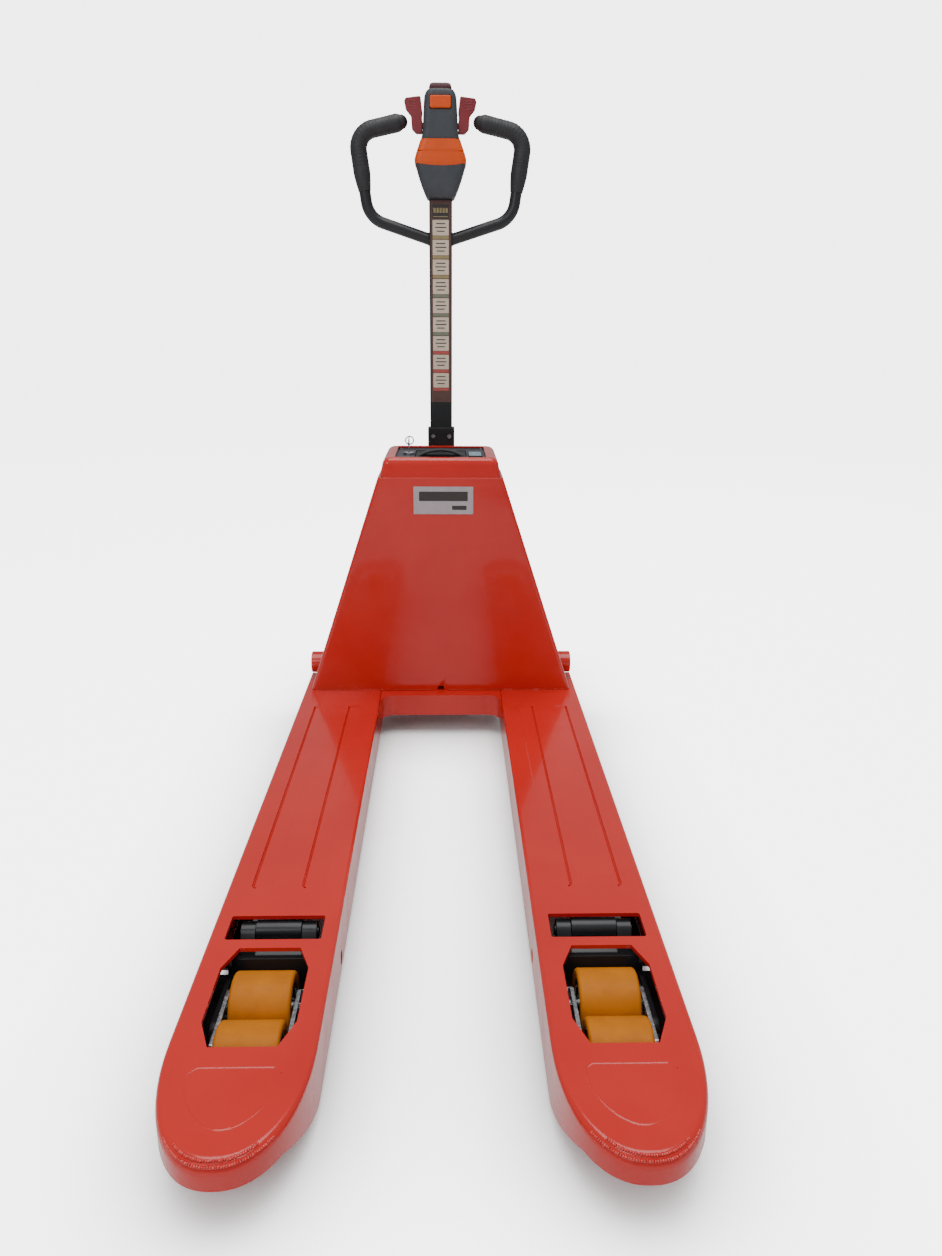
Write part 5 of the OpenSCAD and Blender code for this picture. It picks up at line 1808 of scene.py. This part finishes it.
@dataclass
class PowerHead:
    """The chassis with its drive, hydraulics, cover and castors."""

    layout: Layout
    fins: int = 12
    fin_pitch: float = 8.4
    tread_steps: int = 192
    slot: float = 1.6
    hose_radius: float = 4.5
    hose_feet: Flat = (214.0, 110.0)
    ring_circle: float = 80.5
    cap_circle: float = 66.0
    cap_top: float = 438.3

    def build(self) -> None:
        """Builds the power head."""
        keep = self.layout.machined
        keep("chassis_frame", RED, "chassis", 1.0)
        keep("slew_ring", STEEL, "chassis", 1.0, 3)
        keep("lift_cylinder", BLACK, "chassis", 1.0, 3)
        keep("hydraulic_tank", TANK, "chassis", 4.0, 4)
        keep("pump_motor", BLACK, "chassis", 1.5, 3)
        keep("lift_guides", STEEL, "chassis", 0.8)
        keep("swing_arm_pins", ZINC, "chassis", 0.8)
        keep("rocker_arm", BLACK, "rocker", 1.2, 3)
        keep("steering_yoke", BLACK, "steering", 1.5, 3)
        keep("turret_cover", BLACK_ABS, "steering", 1.5, 3)
        keep("drive_hub", STEEL, "drive_wheel", 1.2, 3)
        for side in Side:
            keep(f"castor_fork_{side.word}", ZINC, f"castor_{side.word}", 0.8, 3)
            keep(f"castor_wheel_{side.word}", CASTOR, f"castor_wheel_{side.word}", 1.0, 3)
        self.cover()
        self.motor()
        self.tread()
        self.hose()
        self.bolts()

    def cover(self) -> None:
        """Builds the cover: round corners, a rolled upper edge, ribs and vents at the back."""
        piece = self.layout.machined("chassis_cover", COVER, "chassis", 3.0, 4)
        low, high = self.layout.corner("chassis_cover")
        slots = []
        for row in range(5):
            slot = bmesh.new()
            plate(slot, rounded_rectangle((0, high.z - 60 - row * 13), (52, 3), 3), high.y - 12, high.y + 4, "Y", 0)
            slots.append(slot)
        self.layout.cut(piece, slots)
        self.layout.shade(piece, 32)
        bumper = bmesh.new()
        path = []
        corner, half, back, height = 70.0, high.x, high.y, low.z + 14
        for k in range(33):
            a = math.radians(-90 + 180 * k / 32)
            x = (half - corner) * (1 if a > 0 else -1) * (0 if abs(a) < 1e-6 else 1) + corner * math.sin(a)
            path.append(Vector((x, back - corner + corner * math.cos(a), height)))
        ends = [Vector((x, low.y + 30, height)) for x in (-half, half)]
        path = [ends[0], *path, ends[1]]
        rings = []
        for i, point in enumerate(path):
            way = heading(path, i)
            out = Vector((-way.y, way.x, 0)) if (Vector((-way.y, way.x)).dot(Vector((point.x, 1))) > 0) \
                else Vector((way.y, -way.x, 0))
            rings.append([tuple(point - out * 4.4 + out * u + Vector((0, 0, v)))
                          for u, v in rounded_rectangle((2.0, 0), (2.2, 9), 2.0, 4)])
        bridge(bumper, rings)
        self.layout.emit("cover_bumper_strip", bumper, GRIP, "chassis", (), 50)

    def motor(self) -> None:
        """Builds the drive motor with cooling fins, and the brake on top of it."""
        low, high = self.layout.corner("drive_motor")
        x, y = (low.x + high.x) / 2, (low.y + high.y) / 2
        bm = bmesh.new()
        profile = [(0, 0), (54, 0), (54, 5), (50, 7)]
        for k in range(self.fins):
            z = 12 + k * self.fin_pitch
            profile += [(47.5, z), (51.6, z + 1.2), (51.6, z + 4.2), (47.5, z + 5.4)]
        profile += [(51, 116), (50, 117.5), (42, 118), (42, 150), (40, 152), (0, 152)]
        turned(bm, profile, (x, y, low.z), "Z", 56)
        self.layout.emit("finned_drive_motor", bm, GREY_ABS, "steering", ("drive_motor",), 40)

    def tread(self) -> None:
        """Builds the drive tyre with a row of shallow slots across its tread."""
        low, high = self.layout.corner("drive_tyre")
        centre = (low + high) / 2
        radius, half = (high.z - low.z) / 2, (high.x - low.x) / 2
        bm = bmesh.new()
        rings = []
        for d, depth in ((-half + 2, 33.0), (-half, 6.0), (-half + 1.6, 2.4), (-half + 6, 0.0), (-half * 0.45, 0.0),
                         (0.0, 0.0), (half * 0.45, 0.0), (half - 6, 0.0), (half - 1.6, 2.4), (half, 6.0),
                         (half - 2, 33.0)):
            ring = []
            for k in range(self.tread_steps):
                a = math.tau * k / self.tread_steps
                slotted = (k // 2) % 4 == 0 and 0 < abs(d) < half - 1 and depth < 3
                r = radius - depth - (self.slot if slotted else 0.0)
                ring.append((centre.x + d, centre.y + r * math.cos(a), centre.z + r * math.sin(a)))
            rings.append(ring)
        bridge(bm, rings, closed=True)
        self.layout.emit("treaded_drive_tyre", bm, TYRE, "drive_wheel", ("drive_tyre",), 35)

    def hose(self) -> None:
        """Builds the hydraulic hose with a crimped fitting at each end."""
        low, high = self.layout.corner("hydraulic_hose")
        y, radius = (low.y + high.y) / 2, self.hose_radius
        half = (high.x - low.x) / 2 - radius
        feet = list(zip((half, -half), self.hose_feet))
        bm = bmesh.new()
        arc = [Vector((half * math.cos(a), y, high.z - radius - half + half * math.sin(a)))
               for a in [math.pi * k / 24 for k in range(25)]]
        ends = [Vector((x, y, z)) for x, z in feet]
        path = [ends[0], *arc, ends[1]]
        swept(bm, path, [radius] * len(path), 16)
        self.layout.emit("hydraulic_hose_bend", bm, HOSE, "chassis", ("hydraulic_hose",), 60)
        fit = bmesh.new()
        for x, z in feet:
            turned(fit, [(0, 0), (7, 0), (7, 7), (5.6, 8), (5.6, 11), (6.2, 12), (6.2, 22), (5.2, 23), (0, 23)],
                   (x, y, z), "Z", 24)
        self.layout.emit("hose_fittings", fit, ZINC, "chassis")

    def bolts(self) -> None:
        """Bolts down the ring, the cover and the turret's cap."""
        low, high = self.layout.corner("slew_ring")
        y = (low.y + high.y) / 2
        for name, radius, z, count, bolt, body in (
                ("ring_bolts", self.ring_circle, high.z + 0.4, 12, (8, 3.2, 0.1), "chassis"),
                ("cap_bolts", self.cap_circle, self.cap_top, 6, (8, 3.0, 12), "steering")):
            spots = [((radius * math.cos(a), y + radius * math.sin(a), z), (0, 0, 1))
                     for a in [math.tau * (k + 0.5) / count for k in range(count)]]
            Fasteners(self.layout, *bolt).place(name, spots, ZINC, body)
        low, high = self.layout.corner("chassis_cover")
        spots = [((s * high.x, y, high.z - 22), (s, 0, 0)) for s in (-1, 1) for y in (low.y + 16, low.y + 110)]
        Fasteners(self.layout, 8, 2.4, 13).place("cover_bolts", spots, ZINC, "chassis")


# ------------------------------------------------------------------- studio


@dataclass
class Studio:
    """The pale floor, the soft lights and the camera."""

    lens: float = 27.4
    camera_from_apron: Point = (14.0, -1816.0, 792.4)
    pitch: float = 17.6
    yaw: float = 1.45
    roll: float = 0.4
    sky_light: float = 0.45
    paper_glow: float = 4.2

    def camera(self, layout: Layout) -> None:
        """Places the camera.

        Args:
            layout: what turns drawn millimetres into metres.
        """
        data = bpy.data.cameras.new("camera")
        data.lens = self.lens
        data.sensor_width = 36
        data.sensor_fit = "AUTO"
        eye = link("camera", data)
        p, w, r = (math.radians(v) for v in (self.pitch, self.yaw, self.roll))
        ahead = Vector((math.sin(w) * math.cos(p), math.cos(w) * math.cos(p), -math.sin(p)))
        right = Vector((math.cos(w), -math.sin(w), 0))
        up = right.cross(ahead)
        across = math.cos(r) * right + math.sin(r) * up
        over = -math.sin(r) * right + math.cos(r) * up
        turn = Matrix((across, over, -ahead)).transposed().to_4x4()
        eye.matrix_world = Matrix.Translation(layout.matrix @ Vector(self.camera_from_apron)) @ turn
        bpy.context.scene.camera = eye

    def floor(self) -> None:
        """Lays the floor: matt white paper that glows for the camera, as on a light table, with painted shadow: the
        glow fades by ambient occlusion under and beside the truck.
        """
        bm = bmesh.new()
        bmesh.ops.create_grid(bm, x_segments=1, y_segments=1, size=40)
        mesh = bpy.data.meshes.new("floor")
        bm.to_mesh(mesh)
        bm.free()
        ground = link("floor", mesh)
        paper = bpy.data.materials.new("pale_paper")
        paper.use_nodes = True
        tree = paper.node_tree
        shader = tree.nodes["Principled BSDF"]
        shader.inputs["Base Color"].default_value = linear("#e6e6e6")
        shader.inputs["Roughness"].default_value = 0.95
        shader.inputs["Specular IOR Level"].default_value = 0.1
        shader.inputs["Emission Color"].default_value = linear("#ffffff")
        seen = add(tree, "ShaderNodeLightPath").outputs["Is Camera Ray"]
        # painted contact shadow: the camera-only glow fades with ambient occlusion cubed near and under the truck
        painted_shadow_ao = add(tree, "ShaderNodeAmbientOcclusion", {"Distance": 0.22}, samples=8)
        shade = add(tree, "ShaderNodeMath", {0: painted_shadow_ao.outputs["AO"], 1: 3.0}, operation="POWER")
        glow_under_painted_shadow = add(tree, "ShaderNodeMath", {0: seen, 1: shade.outputs[0]}, operation="MULTIPLY")
        lit = add(tree, "ShaderNodeMath", {0: glow_under_painted_shadow.outputs[0], 1: self.paper_glow}, operation="MULTIPLY")
        tree.links.new(lit.outputs[0], shader.inputs["Emission Strength"])
        mesh.materials.append(paper)

    @staticmethod
    def lamp(name: str, size: Flat, power: float, place: Point, aim: Point, mirrored: bool = True) -> None:
        """Hangs one soft rectangular light.

        Args:
            name: its name.
            size: its sides in metres.
            power: its power in watts.
            place: where it hangs.
            aim: what it faces.
            mirrored: lets glossy surfaces reflect it.
        """
        data = bpy.data.lights.new(name, "AREA")
        data.shape = "RECTANGLE"
        data.size, data.size_y = size
        data.energy = power
        lamp = link(name, data)
        lamp.location = place
        lamp.visible_glossy = mirrored
        lamp.rotation_euler = (Vector(aim) - Vector(place)).to_track_quat("-Z", "Y").to_euler()

    def lights(self) -> None:
        """Hangs the lights and sets the pale surroundings."""
        world = bpy.data.worlds.new("studio")
        world.use_nodes = True
        tree = world.node_tree
        sky = tree.nodes["Background"]
        sky.inputs["Color"].default_value = linear("#ffffff")
        seen = add(tree, "ShaderNodeLightPath").outputs["Is Camera Ray"]
        level = add(tree, "ShaderNodeMapRange", {"Value": seen, "To Min": self.sky_light,
                                                 "To Max": self.paper_glow + 0.9 * self.sky_light})
        tree.links.new(level.outputs["Result"], sky.inputs["Strength"])
        bpy.context.scene.world = world
        self.lamp("overhead", (3.4, 4.0), 195, (0.0, -0.3, 4.5), (0, 0, 0))
        self.lamp("front", (2.4, 1.8), 50, (-1.9, -3.6, 2.6), (0, 0, 0.3))
        self.lamp("back", (2.4, 1.6), 44, (1.8, 3.4, 2.6), (0, 0.3, 0.4), False)

    def build(self, layout: Layout) -> None:
        """Builds the studio.

        Args:
            layout: what turns drawn millimetres into metres.
        """
        self.camera(layout)
        self.floor()
        self.lights()


def corners(bounds: tuple[Sequence[float], Sequence[float]]) -> list[list[float]]:
    """A box's two corners as plain lists of numbers."""
    return [[float(value) for value in corner] for corner in bounds]


def main() -> None:
    """Builds the truck round its frame."""
    logging.basicConfig(level=logging.INFO, format="%(name)s: %(message)s")
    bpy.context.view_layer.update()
    layout = Layout()
    Studio().build(layout)
    for side in Side:
        Fork(layout, side).build()
        RollerGear(layout, side).build()
    Mast(layout).build()
    Hood(layout).build()
    Tiller(layout).build()
    head = ControlHead(layout)
    head.build()
    Handle(layout, head.base).build()
    PowerHead(layout).build()
    LOG.info("%d pieces", len(layout.made))


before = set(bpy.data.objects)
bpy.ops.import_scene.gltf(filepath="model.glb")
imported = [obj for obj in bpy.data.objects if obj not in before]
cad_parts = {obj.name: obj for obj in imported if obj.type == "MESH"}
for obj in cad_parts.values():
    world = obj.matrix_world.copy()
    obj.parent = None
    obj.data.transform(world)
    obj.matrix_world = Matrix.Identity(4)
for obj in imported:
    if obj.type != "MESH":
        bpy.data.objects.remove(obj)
if __name__ == "__main__":
    main()
